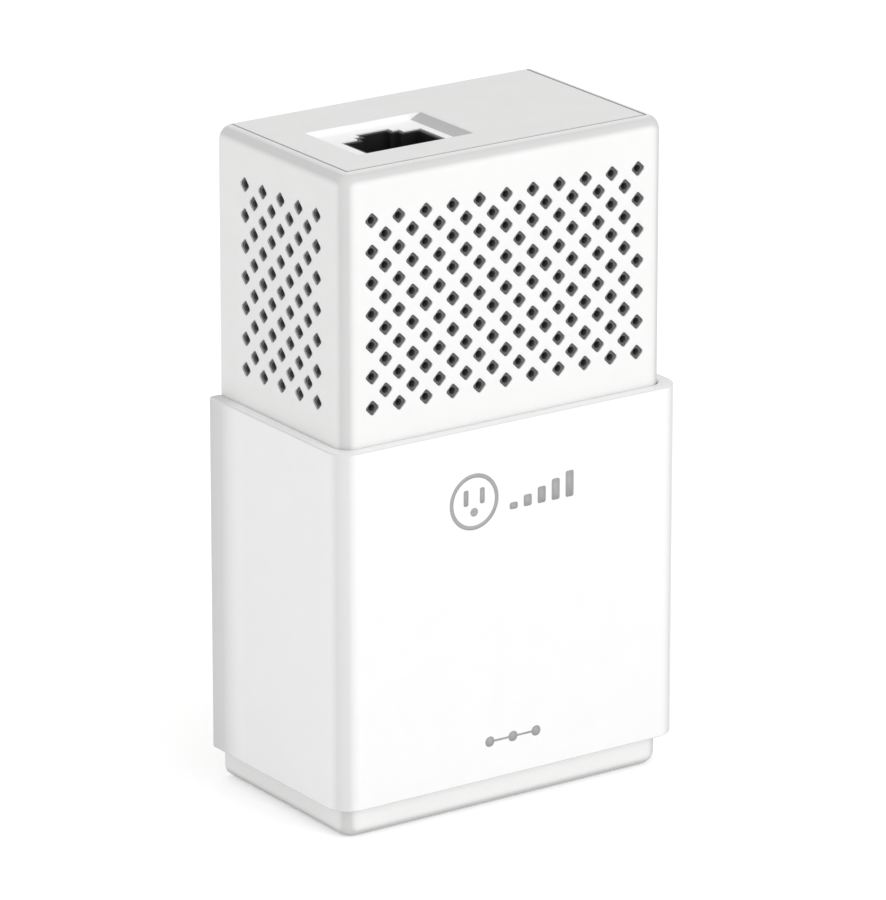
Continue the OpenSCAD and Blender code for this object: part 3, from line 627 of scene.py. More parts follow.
def finish(
    name, base, second=None, rough=0.5, rough_range=0.08, metal=0.0, grains=4.0, depth=0.01, dust=0.1,
    wear=0.0, edge=0.0, scratches=0.4, coat=0.0, pattern=None, **fixed,
):
    """A material: two close tones, grain, smudged roughness, scratches, dust and edge wear. Sizes are
    in millimetres, pattern is one of the patterns above, and fixed holds other values of the shader."""
    made = bpy.data.materials.new(name)
    made.use_nodes = True
    tree = made.node_tree
    shader = tree.nodes["Principled BSDF"].inputs
    grain = use(tree, "moulded grain", Grains_per_mm=grains, Waviness=0.3)
    handled = use(tree, "handling", Scratches=scratches)
    tone = blend(tree, grain["Mottle"], base, second or scaled(base, 0.93))
    level = maths(tree, "MULTIPLY_ADD", handled["Smudge"], rough_range, rough)
    level = plus(tree, level, times(tree, handled["Scratch"], SCRATCH_ROUGH))
    height = grain["Height"]
    if pattern:
        tone, level_shift, raised = pattern(tree, tone)
        if level_shift is not None:
            level = plus(tree, level, level_shift)
        if raised is not None:
            height = plus(tree, height, raised)
    # painted shade: rounded edges are darkened towards half the base colour
    if edge:
        tone = blend(tree, use(tree, "painted edge shade", Amount=edge)["Painted shade"], tone, scaled(base, 0.5))
    if wear:
        worn = use(tree, "edge wear", Amount=wear)["Wear"]
        tone = blend(tree, worn, tone, tuple(min(1.0, c * 1.25 + 0.06) for c in base))
        level = plus(tree, level, times(tree, worn, WEAR_ROUGH))
    if dust:
        fallen = use(tree, "settled dust", Amount=dust)["Dust"]
        tone = blend(tree, fallen, tone, DUST_TONE)
        level = plus(tree, level, times(tree, fallen, DUST_ROUGH))
    height = plus(tree, height, times(tree, handled["Scratch"], -SCRATCH_DEPTH))
    bump = add(tree, "ShaderNodeBump", {"Height": height, "Distance": depth * MM, "Strength": 1.0})
    tree.links.new(tone, shader["Base Color"])
    tree.links.new(maths(tree, "ADD", level, 0.0, clamp=True), shader["Roughness"])
    tree.links.new(bump.outputs[0], shader["Normal"])
    shader["Metallic"].default_value = metal
    shader["Coat Weight"].default_value = coat
    for key, value in fixed.items():
        shader[key.replace("_", " ")].default_value = value
    return made


def finish_values():
    """What finish takes for each of the adapter's finishes, by name."""
    s = bpy.context.scene.adapter_shell
    return {
        # edge paints shade on the rounded edges; the pattern paints shade in the seam and on the port's
        # ramp, and light in the port's pocket
        "matte_white": dict(
            base=s.shell_colour, second=scaled(s.shell_colour, 0.985), rough=0.46, rough_range=0.06,
            grains=3.6, depth=0.012, dust=0.03, scratches=0.12, edge=0.5, pattern=painted_shell_light_and_shade,
        ),
        # edge paints shade on the sleeve's rounded edges
        "gloss_white": dict(
            base=s.sleeve_colour, second=scaled(s.sleeve_colour, 0.99), rough=0.13, rough_range=0.05,
            grains=0.5, depth=0.004, dust=0.02, scratches=0.10, coat=0.5, edge=0.4, Coat_Roughness=0.06,
        ),
        "mark_grey": dict(base=s.mark_colour, rough=0.35, grains=8, depth=0.002, dust=0.0, scratches=0.1),
        "screen_plastic": dict(base=s.screen_colour, rough=0.55, grains=5, dust=0.05),
        "dark_plastic": dict(base=(0.035, 0.035, 0.037), depth=0.02, dust=0.06),
        "black_plastic": dict(base=(0.012, 0.012, 0.013), rough=0.38, depth=0.012, dust=0.05),
        "clear_plastic": dict(
            base=(0.86, 0.90, 0.93), rough=0.12, rough_range=0.05, grains=1.0, depth=0.003, dust=0.0,
            scratches=0.1, Transmission_Weight=0.55, IOR=1.49,
        ),
        "label_film": dict(
            base=(0.66, 0.67, 0.68), rough=0.28, grains=2.0, depth=0.003, dust=0.02, pattern=label_pattern
        ),
        "zinc_steel": dict(
            base=(0.60, 0.60, 0.58), rough=0.3, metal=1.0, grains=2.2, depth=0.008, wear=0.4
        ),
        "nickel_brass": dict(
            base=(0.68, 0.64, 0.57), second=(0.60, 0.56, 0.50), rough=0.2, metal=1.0, grains=1.4,
            depth=0.004, dust=0.02, wear=0.4, pattern=brushed_pattern,
        ),
        "tin_plate": dict(
            base=(0.62, 0.62, 0.61), rough=0.26, metal=1.0, grains=1.0, pattern=brushed_pattern
        ),
        "gold_contact": dict(
            base=(0.83, 0.60, 0.25), rough=0.18, metal=1.0, grains=2.0, depth=0.002, dust=0.0
        ),
        "circuit_board": dict(
            base=(0.02, 0.13, 0.05), rough=0.3, grains=3.0, depth=0.012, pattern=board_pattern
        ),
        "chip_black": dict(base=(0.018, 0.018, 0.019), rough=0.55, grains=6.0, depth=0.015),
        "thermal_rubber": dict(base=(0.30, 0.33, 0.37), rough=0.75, grains=3.0, depth=0.02),
        "sink_aluminium": dict(
            base=(0.70, 0.71, 0.72), rough=0.34, metal=1.0, grains=1.6, depth=0.012, wear=0.3,
            pattern=brushed_pattern,
        ),
        "led_resin": dict(
            base=(0.80, 0.84, 0.80), rough=0.15, grains=2.0, depth=0.002, dust=0.0, Transmission_Weight=0.4
        ),
        "ferrite": dict(
            base=(0.045, 0.045, 0.05), rough=0.62, grains=5.0, depth=0.03, pattern=speckle_pattern
        ),
        "winding_tape": dict(base=(0.76, 0.52, 0.07), rough=0.32, pattern=tape_pattern),
        "can_sleeve": dict(base=(0.025, 0.03, 0.07), rough=0.25, depth=0.006, pattern=can_pattern),
        "film_box": dict(base=(0.72, 0.50, 0.10), rough=0.4, grains=2.0, depth=0.02),
        "enamel_copper": dict(
            base=(0.62, 0.25, 0.09), rough=0.22, metal=0.9, grains=2.0, depth=0.004, coat=0.6
        ),
        "core_coating": dict(
            base=(0.05, 0.20, 0.10), rough=0.45, grains=2.5, depth=0.03, pattern=speckle_pattern
        ),
        "fuse_brown": dict(base=(0.17, 0.07, 0.035), rough=0.42, grains=3.0),
        "varistor_blue": dict(base=(0.03, 0.10, 0.38), rough=0.35, grains=1.2, depth=0.03),
        "fish_paper": dict(
            base=(0.62, 0.57, 0.47), rough=0.8, grains=3.0, depth=0.02, pattern=weave_pattern
        ),
    }


def material(name):
    """A finish's material, made the first time it is asked for."""
    if name not in FINISHES:
        FINISHES[name] = finish(name, **finish_values()[name])
    return FINISHES[name]


# ---- shell ----


def plan(u, inset, out_round=0.0):
    """Point of the shell's plan outline, moved in by inset. u runs from -3, the back of the left side,
    through -2..-1, the left corner arc, -1..1, the front, and 1..2, the right corner, to 3, the back
    of the right side. A point is the corner arc's centre plus its radius at the turned angle, plus the
    way along the front or the side."""
    u, inset = np.broadcast_arrays(np.asarray(u, float), np.asarray(inset, float))
    corner = bpy.context.scene.adapter_shell.corner / MM
    half, depth = HALF_W - inset, DEPTH - inset
    r = corner - inset + out_round * np.minimum(inset, 0)
    side, a = np.sign(u), np.abs(u)
    angle = np.clip(a - 1, 0, 1) * np.pi / 2
    x = side * (np.minimum(a, 1) * (half - r) + r * np.sin(angle))
    y = (depth - r) * (np.clip(a - 2, 0, 1) - 1) - r * np.cos(angle)
    return x, y


def wall_u(wall, p):
    """The plan parameter of a place p on a wall: x on the front, y on the right, -y on the left."""
    r = bpy.context.scene.adapter_shell.corner / MM
    if wall == "front":
        return p / (HALF_W - r)
    run = 2 + (DEPTH - r + (p if wall == "right" else -p)) / (DEPTH - r)
    return run if wall == "right" else -run


def on_wall(wall, pq):
    """Points (p, z) of a flat wall, set in space."""
    p, q = pq[..., 0], pq[..., 1]
    flat = {"front": (p, -DEPTH + 0 * p), "left": (-HALF_W + 0 * p, -p), "right": (HALF_W + 0 * p, p)}[wall]
    return np.stack([flat[0], flat[1], q], -1)


def vent_grid():
    """Half the spacing of the vents, and the height of the top edge of their fields."""
    step = bpy.context.scene.adapter_shell.vent_step / MM
    return step, Z_HIGH - VENT_DROP + step


def vent_outlines(step, per_side):
    """A vent's diamond and its rounded square turned 45 degrees, with per_side points to each side. The
    square's quarter runs from the middle of one corner's arc, over half a side, to that of the next."""
    s = bpy.context.scene.adapter_shell
    side, r = s.vent_side / MM, s.vent_corner / MM
    turn = np.arange(4) * np.pi / 2
    axis = np.stack([np.cos(turn), np.sin(turn)], -1)
    part = np.arange(per_side)[None, :, None] / per_side
    diamond = (axis[:, None] * (1 - part) + np.roll(axis, -1, 0)[:, None] * part).reshape(-1, 2) * step
    arc_middle = side / math.sqrt(2) - r * math.sqrt(2)
    bend = np.linspace(0, np.pi / 4, per_side // 2)
    start = np.stack([arc_middle + r * np.cos(bend), r * np.sin(bend)], -1)
    side_middle = np.full((1, 2), side / math.sqrt(8))
    quarter = np.concatenate([start, side_middle, start[:0:-1, ::-1]])
    square = [quarter @ np.array([[c, sine], [-sine, c]]) for c, sine in np.round(axis, 9)]
    return diamond, np.concatenate(square)


def vent_field(wall, middle, reach, top, rows):
    """Staggered vents in a wall. The field is tiled by diamonds, half a vent pitch to each corner. A
    vent is a ring of quads between its rounded square and its diamond; a diamond cut by the field's
    edge is a fan of triangles from its middle instead. Gives the field's parts and its bounds."""
    step, _ = vent_grid()
    diamond, hole = vent_outlines(step, 6)
    p0, p1, low = middle - reach * step, middle + reach * step, top - (rows + 1) * step
    cols = 2 * reach
    i, j = np.meshgrid(np.arange(cols + 1), np.arange(rows + 2), indexing="ij")
    tiled = (i + j) % 2 == 0
    i, j = i[tiled], j[tiled]
    middles = np.stack([p0 + i * step, top - j * step], -1)
    whole = (i > 0) & (i < cols) & (j > 0) & (j < rows + 1)
    n = len(hole)
    k, k2 = next_round(n)

    vents = middles[whole]
    points = np.concatenate([vents[:, None] + diamond, vents[:, None] + hole], 1)
    first = np.arange(len(vents))[:, None] * 2 * n
    quads = np.stack([first + k, first + k2, first + n + k2, first + n + k], -1).reshape(-1, 4)

    cut = middles[~whole]
    flat = np.concatenate([cut[:, None], cut[:, None] + diamond], 1).reshape(-1, 2)
    first = np.arange(len(cut))[:, None] * (n + 1)
    fans = np.stack([first + 0 * k, first + 1 + k, first + 1 + k2], -1).reshape(-1, 3)
    p, q = flat[fans].mean(1).T
    inside = (p > p0) & (p < p1) & (q < top) & (q > low)
    return [
        (on_wall(wall, points.reshape(-1, 2)), quads, np.zeros((0, 3), int)),
        (on_wall(wall, flat), np.zeros((0, 4), int), fans[inside]),
    ], (wall, p0, p1, low, top)


def field_rim(p0, p1, q0, q1, step):
    """Points round a rectangle every step, counter-clockwise from its lower left corner."""
    p, q = np.arange(round((p1 - p0) / step)) * step, np.arange(round((q1 - q0) / step)) * step
    return np.concatenate([
        np.stack([p0 + p, q0 + 0 * p], -1),
        np.stack([p1 + 0 * q, q0 + q], -1),
        np.stack([p1 - p, q1 + 0 * p], -1),
        np.stack([p0 + 0 * q, q1 - q], -1),
    ])


def stadium(angle, reach, r):
    """Distance from the middle of a stadium to its edge at each angle: to the flat where the ray meets
    it, or to the end circle."""
    c, s = np.abs(np.cos(angle)), np.abs(np.sin(angle))
    flat = r / np.maximum(s, 1e-9)
    round_end = reach * c + np.sqrt(np.maximum(r * r - (reach * s) ** 2, 0))
    return np.where(flat * c <= reach, flat, round_end)


def button_window():
    """The button's stadium in its field: each step of the rim faces three points of the hole, which lie
    at the angles of the rim's thirds."""
    step, top = vent_grid()
    field = ("right", SIDE_MID - 3 * step, SIDE_MID + 3 * step, top - 12 * step, top - 8 * step)
    rim = field_rim(*field[1:], step)
    middle = (SIDE_MID, (BUTTON_LOW[2] + BUTTON_HIGH[2]) / 2)
    third = np.arange(3)[:, None] / 3
    way = (rim[:, None] * (1 - third) + np.roll(rim, -1, 0)[:, None] * third).reshape(-1, 2) - middle
    angle = np.arctan2(way[:, 1], way[:, 0])
    away = stadium(angle, (BUTTON_L - BUTTON_H) / 2, BUTTON_H / 2 + BUTTON_GAP)
    hole = np.stack([np.cos(angle), np.sin(angle)], -1) * away[:, None] + middle
    n = len(rim)
    i, j = next_round(n)
    faces = np.stack([i, j, n + 3 * j, n + 3 * i + 2, n + 3 * i + 1, n + 3 * i], -1)
    return (on_wall("right", np.concatenate([rim, hole])), faces), field


def light_window(number):
    """One of the three light windows in the right side, counted from the back: the rim of its field,
    shrunk to the window's size."""
    step, top = vent_grid()
    p1 = SIDE_MID + (3 - 2 * number) * step
    field = ("right", p1 - 2 * step, p1, top - 14 * step, top - 13 * step)
    rim = field_rim(*field[1:], step)
    share = (rim - rim.min(0)) / np.ptp(rim, axis=0) - 0.5
    hole = share * LIGHT_WINDOW + [SIDE_MID + (1 - number) * LIGHT_PITCH, LIGHT_LEVEL]
    n = len(rim)
    i, j = next_round(n)
    return (on_wall("right", np.concatenate([rim, hole])), np.stack([i, j, n + j, n + i], -1)), field


def front_skin():
    """Outer skin of the front shell. Across, it follows the plan; down, each row has an inset and a
    height: a quarter circle for the rolled rim, the upright wall, another quarter circle, and the flat
    bottom, which closes on a point at the middle of its back edge. Fields for the vents and windows
    take the place of the grid's own faces."""
    s = bpy.context.scene.adapter_shell
    step, top = vent_grid()
    fields, parts = [], []
    for wall, middle, reach, rows in (
        ("front", 0, FRONT_REACH, FRONT_ROWS),
        ("left", -SIDE_MID, SIDE_REACH, FRONT_ROWS),
        ("right", SIDE_MID, SIDE_REACH, RIGHT_ROWS),
    ):
        made, field = vent_field(wall, middle, reach, top, rows)
        parts += made
        fields.append(field)
    button, button_field = button_window()
    lights, light_fields = zip(*(light_window(number) for number in range(3)))
    fields += [button_field, *light_fields]

    corner = np.linspace(1, 2, 8)
    side = wall_u("right", SIDE_MID + np.arange(-SIDE_REACH, SIDE_REACH + 1) * step)
    back = [3.0]
    right = np.concatenate([corner, side, back])
    front = wall_u("front", np.arange(-FRONT_REACH, FRONT_REACH + 1) * step)
    u = np.concatenate([-right[::-1], front, right])
    top_r, low_r = s.top_edge / MM, s.bottom_edge / MM
    roll = np.linspace(0, np.pi / 2, 9)
    wall_z = top - np.arange(FRONT_ROWS + 2) * step
    thick_again = wall_z[-1] - 3.1
    plain_z = np.linspace(thick_again, Z_LOW + low_r, 6)
    foot = np.linspace(0, np.pi / 2, 7)[1:]
    inset = np.concatenate([
        top_r * (1 - np.sin(roll)), 0 * wall_z, 0 * plain_z, low_r * (1 - np.cos(foot)),
    ])
    z = np.concatenate([
        Z_HIGH - top_r * (1 - np.cos(roll)), wall_z, plain_z, Z_LOW + low_r * (1 - np.sin(foot)),
    ])
    x, y = plan(u[None], inset[:, None])
    y[-1] = np.minimum(y[-1], FOOT_Y)
    points = surface(x, y, z[:, None])
    quads = grid_faces(len(z), len(u))
    um = u[quads % len(u)].mean(1)
    zm = z[quads // len(u)].mean(1)
    keep = np.ones(len(quads), bool)
    for wall, p0, p1, q0, q1 in fields:
        a, b = sorted((wall_u(wall, p0), wall_u(wall, p1)))
        keep &= ~((um > a) & (um < b) & (zm > q0) & (zm < q1))
    last = (len(z) - 1) * len(u) + np.arange(len(u))
    pole = len(points)
    fan = np.stack([last[:-1], np.full(len(u) - 1, pole), last[1:]], -1)
    points = np.concatenate([points, [[0, FOOT_Y, Z_LOW]]])
    sheet = gather((points, quads[keep], fan), *parts)
    lights = gather(*lights)
    first_button = len(sheet[0])
    first_light = first_button + len(button[0])
    points = np.concatenate([sheet[0], button[0], lights[0]])
    return weld(points, sheet[1], sheet[2], button[1] + first_button, lights[1] + first_light)


def vented(points):
    """Indices of the points of the vent fields, where the wall is thin."""
    step, top = vent_grid()
    near = 0.01
    x, y, z = np.abs(points).T
    on_front = (y > DEPTH - near) & (x < FRONT_REACH * step + near)
    on_side = (x > HALF_W - near) & (np.abs(y + SIDE_MID) < SIDE_REACH * step + near)
    rows = np.where(on_side & (points[:, 0] > 0), RIGHT_ROWS, FRONT_ROWS)
    low = top - (rows + 1) * step - near
    return np.flatnonzero((on_front | on_side) & (z < top + near) & (points[:, 2] > low))


def screw_boss(face):
    """A screw boss behind the front wall, whose inner side is at face: a profile of (radius, y) turned
    about the Y axis, with a chamfer round its back end."""
    bore, outer, back, chamfer = 1.15, 2.5, -4.1, 0.2
    profile = np.array([
        (bore, back), (outer - chamfer, back), (outer, back - chamfer), (outer, face), (bore, face),
    ])
    radius, y = profile[:, :1], profile[:, 1:]
    steps = 40
    turn = np.arange(steps) * 2 * np.pi / steps
    points = surface(radius * np.cos(turn), y, radius * np.sin(turn))
    return outward((points, grid_faces(len(profile), steps, wrap_rows=True, wrap_cols=True)))


class ADAPTER_OT_front_shell(bpy.types.Operator):
    """Front shell: one vented skin given its wall, with the screw bosses inside"""

    bl_idname = "adapter.front_shell"
    bl_label = "Front shell"

    def execute(self, context):
        s = context.scene.adapter_shell
        points, *faces = front_skin()
        shell = build("front_shell", points, *faces)
        full = shell.vertex_groups.new(name="full wall")
        thin = vented(points)
        full.add(np.setdiff1d(np.arange(len(points)), thin).tolist(), 1.0, "REPLACE")
        wall = shell.modifiers.new("wall", "SOLIDIFY")
        wall.thickness = s.wall
        wall.vertex_group = full.name
        wall.thickness_vertex_group = s.vent_skin / s.wall
        wall.offset = -1
        wall.use_even_offset = True
        wall.use_rim = True
        place(shell, "matte_white", "front_housing")
        soften(shell, s.soften / MM, angle=50)
        boss = screw_boss(-DEPTH + s.wall / MM - 0.2)
        places = [(x, 0, z) for x in (-BOSS_X, BOSS_X) for z in BOSS_Z]
        bosses = build("screw_bosses", *repeated(boss, places))
        place(bosses, "matte_white", "front_housing", replaces=False)
        soften(bosses, 0.1)
        return {"FINISHED"}


class ADAPTER_OT_rear_shell(bpy.types.Operator):
    """Rear shell with the top plate, and the film label in its pocket"""

    bl_idname = "adapter.rear_shell"
    bl_label = "Rear shell"

    def execute(self, context):
        s = context.scene.adapter_shell
        softened("rear_housing", "rear_shell", s.soften / MM, "matte_white")
        paint("rating_label", "label_film")
        return {"FINISHED"}


# ---- sleeve and marks ----


def sleeve_skin():
    """Sleeve: a rounded rectangle, as thick as the sleeve and as tall, carried round the shell's plan.
    Going out, the corner's radius grows by half the way."""
    s = bpy.context.scene.adapter_shell
    gap = 0.05
    thick = SLEEVE_HIGH[0] - HALF_W
    low, high = SLEEVE_LOW[2], SLEEVE_HIGH[2]
    section = round_section(thick - gap, high - low, s.sleeve_edge / MM, 6)
    out = section[:, 0] + (thick + gap) / 2
    z = section[:, 1] + (low + high) / 2
    arc = np.linspace(1, 2, 25)
    u = np.concatenate([[-3, -2.7], -arc[::-1], np.linspace(-1, 1, 9)[1:-1], arc, [2.7, 3]])
    x, y = plan(u[:, None], -out[None], 0.5)
    n, m = len(u), len(section)
    return outward((surface(x, y, z), grid_faces(n, m, wrap_cols=True), end_caps(n, m)))


def sleeve_clips():
    """Four clips that hold the sleeve in the shell's sides: a small block each."""
    section, height = round_section(1.4, 6, 0.2, 3), 2.4
    block = outward(sweep([[0, 0, 0], [0, 0, height]], section, (1, 0, 0)))
    x = HALF_W - 0.3
    levels = (SLEEVE_LOW[2] + 9, SLEEVE_LOW[2] + 39.7)
    return repeated(block, [(side * x, SIDE_MID, z) for side in (-1, 1) for z in levels])


def slab(outline, face_y, thick=0.03):
    """A closed outline of (x, z) points made a thin plate: its front at face_y, its back behind it."""
    n = len(outline)
    front = surface(outline[:, 0], face_y, outline[:, 1])
    back = front + [0, thick, 0]
    i, j = next_round(n)
    sides = np.stack([i, n + i, n + j, j], -1)
    caps = np.stack([i, (n + i)[::-1]])
    return outward((np.concatenate([front, back]), sides, caps))


def ring_plate(x, z, r_out, r_in, face_y, thick=0.03, steps=72):
    """A flat ring: a rectangular section carried round a circle."""
    turn = np.arange(steps)[:, None] * 2 * np.pi / steps
    radius = np.array([r_in, r_out, r_out, r_in])
    y = face_y + np.array([0, 0, thick, thick])
    points = surface(x + radius * np.cos(turn), y, z + radius * np.sin(turn))
    return outward((points, grid_faces(steps, 4, wrap_rows=True, wrap_cols=True)))


def sleeve_marks():
    """The printed marks by name, as thin plates that stand a hair proud of the sleeve: an outlet in a
    ring, rising bars, and three dots on a line."""
    face = SLEEVE_LOW[1] - 0.008
    x, z = -6.6, 23.5
    bar_foot, bar_step, dots_z, dots_step = 21.2, 2.35, -12.1, 3.9
    dot = round_section(1.5, 1.5, 0.7, 8)
    return {
        "ring_mark": [ring_plate(x, z, 4.05, 3.45, face), ring_plate(x, z - 1.5, 0.62, 0.05, face)],
        "slot_marks": [
            slab(round_section(0.8, 2.3, 0.25, 4) + [x + side * 1.35, z + 0.7], face) for side in (-1, 1)
        ],
        "bar_marks": [
            slab(round_section(1.35, h, 0.3, 4) + [bar_step * k, bar_foot + h / 2], face)
            for k, h in enumerate(1.0 + 0.7 * np.arange(5))
        ],
        "link_mark": [slab(round_section(7.2, 0.3, 0.1, 4) + [0, dots_z], face)],
        "dot_marks": [slab(dot + [side * dots_step, dots_z], face - 0.002) for side in (-1, 0, 1)],
    }


class ADAPTER_OT_sleeve(bpy.types.Operator):
    """Glossy sleeve, its clips and its printed marks"""

    bl_idname = "adapter.sleeve"
    bl_label = "Sleeve"

    def execute(self, context):
        place(build("gloss_sleeve", *sleeve_skin()), "gloss_white", "outer_sleeve")
        clips = build("sleeve_clips", *sleeve_clips())
        place(clips, "gloss_white", "outer_sleeve", replaces=False)
        soften(clips, 0.12)
        for name, parts in sleeve_marks().items():
            mark = build(name, *gather(*parts))
            place(mark, "gloss_white", "outer_sleeve", replaces=False, look="mark_grey")
        return {"FINISHED"}


# ---- screen, button and lights ----


class ADAPTER_OT_screen(bpy.types.Operator):
    """Perforated screen behind the vents, and the insulating sheet"""

    bl_idname = "adapter.screen"
    bl_label = "Screen"

    def execute(self, context):
        paint("vent_screen", "screen_plastic")
        paint("insulation_sheet", "fish_paper")
        return {"FINISHED"}


class ADAPTER_OT_button(bpy.types.Operator):
    """Pairing button with its stem, and the switch behind it"""

    bl_idname = "adapter.button"
    bl_label = "Button"

    def execute(self, context):
        softened("pair_button", "pair_button_cap", 0.3, "matte_white", 50, 4)
        softened("switch_body", "switch_case", 0.15, "black_plastic")
        softened("switch_plunger", "switch_pin", 0.2, "dark_plastic", 50, 3)
        return {"FINISHED"}


class ADAPTER_OT_lights(bpy.types.Operator):
    """Clear light pipe and the three lights on the board"""

    bl_idname = "adapter.lights"
    bl_label = "Lights"

    def execute(self, context):
        softened("light_pipe", "clear_light_pipe", 0.12, "clear_plastic")
        softened("status_leds", "board_lights", 0.08, "led_resin")
        return {"FINISHED"}


# ---- plug ----


class ADAPTER_OT_plug(bpy.types.Operator):
    """Flat blades, round earth pin and the moulded carrier that holds them"""

    bl_idname = "adapter.plug"
    bl_label = "Plug"

    def execute(self, context):
        softened("live_blade", "right_blade", 0.18, "nickel_brass", 30, 3)
        softened("neutral_blade", "left_blade", 0.18, "nickel_brass", 30, 3)
        softened("earth_pin", "round_pin", 0.12, "nickel_brass", 40)
        softened("blade_carrier", "pin_carrier", 0.2, "dark_plastic")
        return {"FINISHED"}


# ---- network port ----


def contact_wires():
    """Eight spring contacts: a flat wire carried up the jack's front wall, over a bend and back down
    towards the latch side."""
    (x0, y0, z0), (x1, y1, z1) = corners("jack_contacts")
    count, wire, inset = 8, 0.35, 0.2
    y0, y1 = y0 + inset, y1 - inset
    foot, bend, rise = z0 + 0.05, z0 + 4.2, z0 + 6.4
    path = [[0, y0, foot], [0, y0, bend], [0, y0 + 0.9, rise], [0, y1, z1 - 0.5], [0, y1 - 0.45, z1 - 0.1]]
    one = outward(sweep(arc_path(path, 0.8), round_section(wire, 0.26, 0.08, 2), (1, 0, 0)))
    return repeated(one, [(x, 0, 0) for x in np.linspace(x0 + wire / 2, x1 - wire / 2, count)])


class ADAPTER_OT_port(bpy.types.Operator):
    """Network jack with its tinned shield and spring contacts"""

    bl_idname = "adapter.port"
    bl_label = "Network port"

    def execute(self, context):
        softened("jack_body", "jack_case", 0.15, "black_plastic")
        softened("jack_shield", "jack_can", 0.08, "tin_plate")
        wires = build("spring_contacts", *contact_wires())
        place(wires, "gold_contact", "jack_contacts")
        return {"FINISHED"}


# ---- boards ----


class ADAPTER_OT_main_board(bpy.types.Operator):
    """Upper board with its chips, cooler and coils"""

    bl_idname = "adapter.main_board"
    bl_label = "Main board"

    def execute(self, context):
        paint("main_board", "circuit_board")
        paint("thermal_pad", "thermal_rubber")
        for node, name, width, slot in (
            ("modem_chip", "modem_case", 0.15, "chip_black"),
            ("heat_sink", "finned_cooler", 0.2, "sink_aluminium"),
            ("phy_chip", "port_chip", 0.12, "chip_black"),
            ("memory_chip", "memory_case", 0.12, "chip_black"),
            ("lan_transformer", "line_coil_box", 0.3, "chip_black"),
            ("crystal", "clock_can", 0.5, "zinc_steel"),
            ("coupling_transformer", "coupling_coil", 0.3, "winding_tape"),
            ("link_strip", "header_strip", 0.12, "black_plastic"),
            ("link_pins", "header_pins", 0.06, "gold_contact"),
        ):
            softened(node, name, width, slot, segments=3)
        return {"FINISHED"}


class ADAPTER_OT_power_board(bpy.types.Operator):
    """Lower board with the mains parts"""

    bl_idname = "adapter.power_board"
    bl_label = "Power board"

    def execute(self, context):
        paint("power_board", "circuit_board")
        for node, name, width, slot in (
            ("transformer_core", "ferrite_core", 0.3, "ferrite"),
            ("transformer_bobbin", "taped_bobbin", 0.3, "winding_tape"),
            ("bulk_capacitors", "bulk_cans", 0.35, "can_sleeve"),
            ("output_capacitor", "output_can", 0.3, "can_sleeve"),
            ("mains_capacitor", "film_block", 0.4, "film_box"),
            ("choke_core", "choke_ring", 0.5, "core_coating"),
            ("choke_windings", "choke_turns", 0.14, "enamel_copper"),
            ("fuse", "fuse_cup", 0.4, "fuse_brown"),
            ("varistor", "surge_disc", 0.8, "varistor_blue"),
            ("bridge_rectifier", "bridge_case", 0.2, "chip_black"),
            ("switcher_chip", "switcher_case", 0.15, "chip_black"),
            ("optocoupler", "opto_case", 0.15, "chip_black"),
        ):
            softened(node, name, width, slot, segments=3)
        return {"FINISHED"}


class ADAPTER_OT_fasteners(bpy.types.Operator):
    """Housing screws and board screws"""

    bl_idname = "adapter.fasteners"
    bl_label = "Fasteners"

    def execute(self, context):
        softened("housing_screws", "case_screws", 0.12, "zinc_steel")
        softened("board_screws", "board_fixings", 0.1, "zinc_steel")
        return {"FINISHED"}


# ---- stage ----


def backdrop():
    """Floor and wall in one sheet: a line along Y, a quarter circle and a line up, carried along X."""
    back, radius, reach, height = 2400.0, 900.0, 2600.0, 3000.0
    turn = np.linspace(0, np.pi / 2, 25)
    y = np.concatenate([[-reach, 0.0], back - radius + radius * np.sin(turn), [back]])
    z = Z_LOW + np.concatenate([[0.0, 0.0], radius * (1 - np.cos(turn)), [height]])
    x = np.linspace(-reach, reach, 3)
    return surface(x[:, None], y, z), grid_faces(len(x), len(y))


def backdrop_paper(tone, glow):
    """Plain paper with a faint fibre, which shines a little on its own, but only as it is looked at."""
    paper = bpy.data.materials.new("backdrop_paper")
    paper.use_nodes = True
    tree = paper.node_tree
    shader = tree.nodes["Principled BSDF"].inputs
    fibre = spread(tree, noise(tree, millimetres(tree), 0.8, 3), 0.3, 0.7)
    seen = add(tree, "ShaderNodeLightPath").outputs["Is Camera Ray"]
    tree.links.new(blend(tree, fibre, tone, scaled(tone, 0.995)), shader["Base Color"])
    tree.links.new(blend(tree, seen, (0, 0, 0), (1, 1, 1)), shader["Emission Color"])
    shader["Roughness"].default_value = 0.9
    shader["Emission Strength"].default_value = glow
    return paper


def surroundings(strength):
    """White light from all round, of that strength; looked at, it is as white as the backdrop."""
    world = bpy.data.worlds.new("surroundings")
    world.use_nodes = True
    tree = world.node_tree
    sky = tree.nodes["Background"].inputs
    seen = add(tree, "ShaderNodeLightPath").outputs["Is Camera Ray"]
    sky["Color"].default_value = (1, 1, 1, 1)
    tree.links.new(spread(tree, seen, 0, 1, strength, 1.0), sky["Strength"])
    return world


def aimed(name, data, at, target):
    """Puts a light or camera at a point and turns its -Z axis to the target, both in metres."""
    obj = bpy.data.objects.new(name, data)
    bpy.context.scene.collection.objects.link(obj)
    obj.location = at
    obj.rotation_euler = (Vector(target) - Vector(at)).to_track_quat("-Z", "Y").to_euler()
    return obj


def soft_lamp(name, power, size, at, target):
    """A square light of a size in metres."""
    light = bpy.data.lights.new(name, "AREA")
    light.energy = power
    light.size = size
    aimed(name, light, at, target)


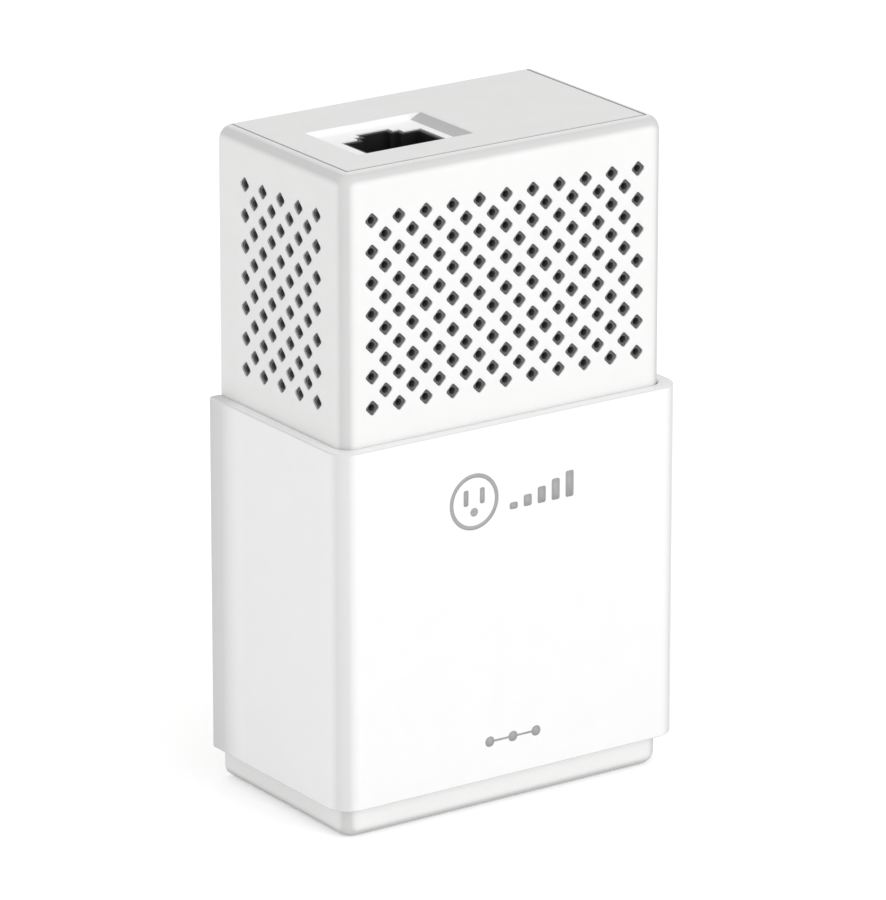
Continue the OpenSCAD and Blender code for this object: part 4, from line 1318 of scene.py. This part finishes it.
class ADAPTER_OT_stage(bpy.types.Operator):
    """Pale floor, soft lights and camera"""

    bl_idname = "adapter.stage"
    bl_label = "Stage"

    def execute(self, context):
        scene = context.scene
        s = scene.adapter_stage
        scene.view_settings.view_transform = "Standard"
        sheet = build("backdrop", *backdrop())
        sheet.data.materials.append(backdrop_paper(s.floor_colour, s.glow))
        scene.world = surroundings(s.sky)
        middle = np.array([0.0, SIDE_MID, (Z_LOW + Z_HIGH) / 2]) * MM
        soft_lamp("key_light", s.key, 0.8, (0.30, -1.00, 0.38), middle)
        soft_lamp("fill_light", s.fill, 0.6, (-0.9, -0.35, 0.30), middle)
        camera = bpy.data.cameras.new("camera")
        camera.lens = s.lens
        camera.sensor_width = 36
        camera.clip_end = 20
        camera.dof.use_dof = False
        flat = math.cos(s.elevation)
        way = np.array([
            math.sin(s.azimuth) * flat, -math.cos(s.azimuth) * flat, math.sin(s.elevation)
        ])
        scene.camera = aimed("camera", camera, middle + way * s.distance, middle)
        return {"FINISHED"}


# ---- add-on ----

OPERATORS = (
    ADAPTER_OT_stage,
    ADAPTER_OT_front_shell,
    ADAPTER_OT_rear_shell,
    ADAPTER_OT_sleeve,
    ADAPTER_OT_screen,
    ADAPTER_OT_button,
    ADAPTER_OT_lights,
    ADAPTER_OT_plug,
    ADAPTER_OT_port,
    ADAPTER_OT_main_board,
    ADAPTER_OT_power_board,
    ADAPTER_OT_fasteners,
)


class ADAPTER_PT_panel(bpy.types.Panel):
    """Settings and build steps of the adapter"""

    bl_idname = "ADAPTER_PT_panel"
    bl_label = "Powerline adapter"
    bl_space_type = "VIEW_3D"
    bl_region_type = "UI"
    bl_category = "Adapter"

    def draw(self, context):
        for settings in (context.scene.adapter_shell, context.scene.adapter_stage):
            box = self.layout.box()
            for key in settings.bl_rna.properties.keys():
                if key not in ("rna_type", "name"):
                    box.prop(settings, key)
        for operator in OPERATORS:
            self.layout.operator(operator.bl_idname)


CLASSES = (ShellSettings, StageSettings, *OPERATORS, ADAPTER_PT_panel)


def register():
    """Registers the classes and hangs the settings on the scene."""
    for cls in CLASSES:
        bpy.utils.register_class(cls)
    bpy.types.Scene.adapter_shell = bpy.props.PointerProperty(type=ShellSettings)
    bpy.types.Scene.adapter_stage = bpy.props.PointerProperty(type=StageSettings)


def unregister():
    """Takes back what register did."""
    del bpy.types.Scene.adapter_shell
    del bpy.types.Scene.adapter_stage
    for cls in reversed(CLASSES):
        bpy.utils.unregister_class(cls)


def main():
    """Registers the classes and builds every piece."""
    register()
    for operator in OPERATORS:
        group, name = operator.bl_idname.split(".")
        getattr(getattr(bpy.ops, group), name)()


if __name__ == "__main__":
    main()
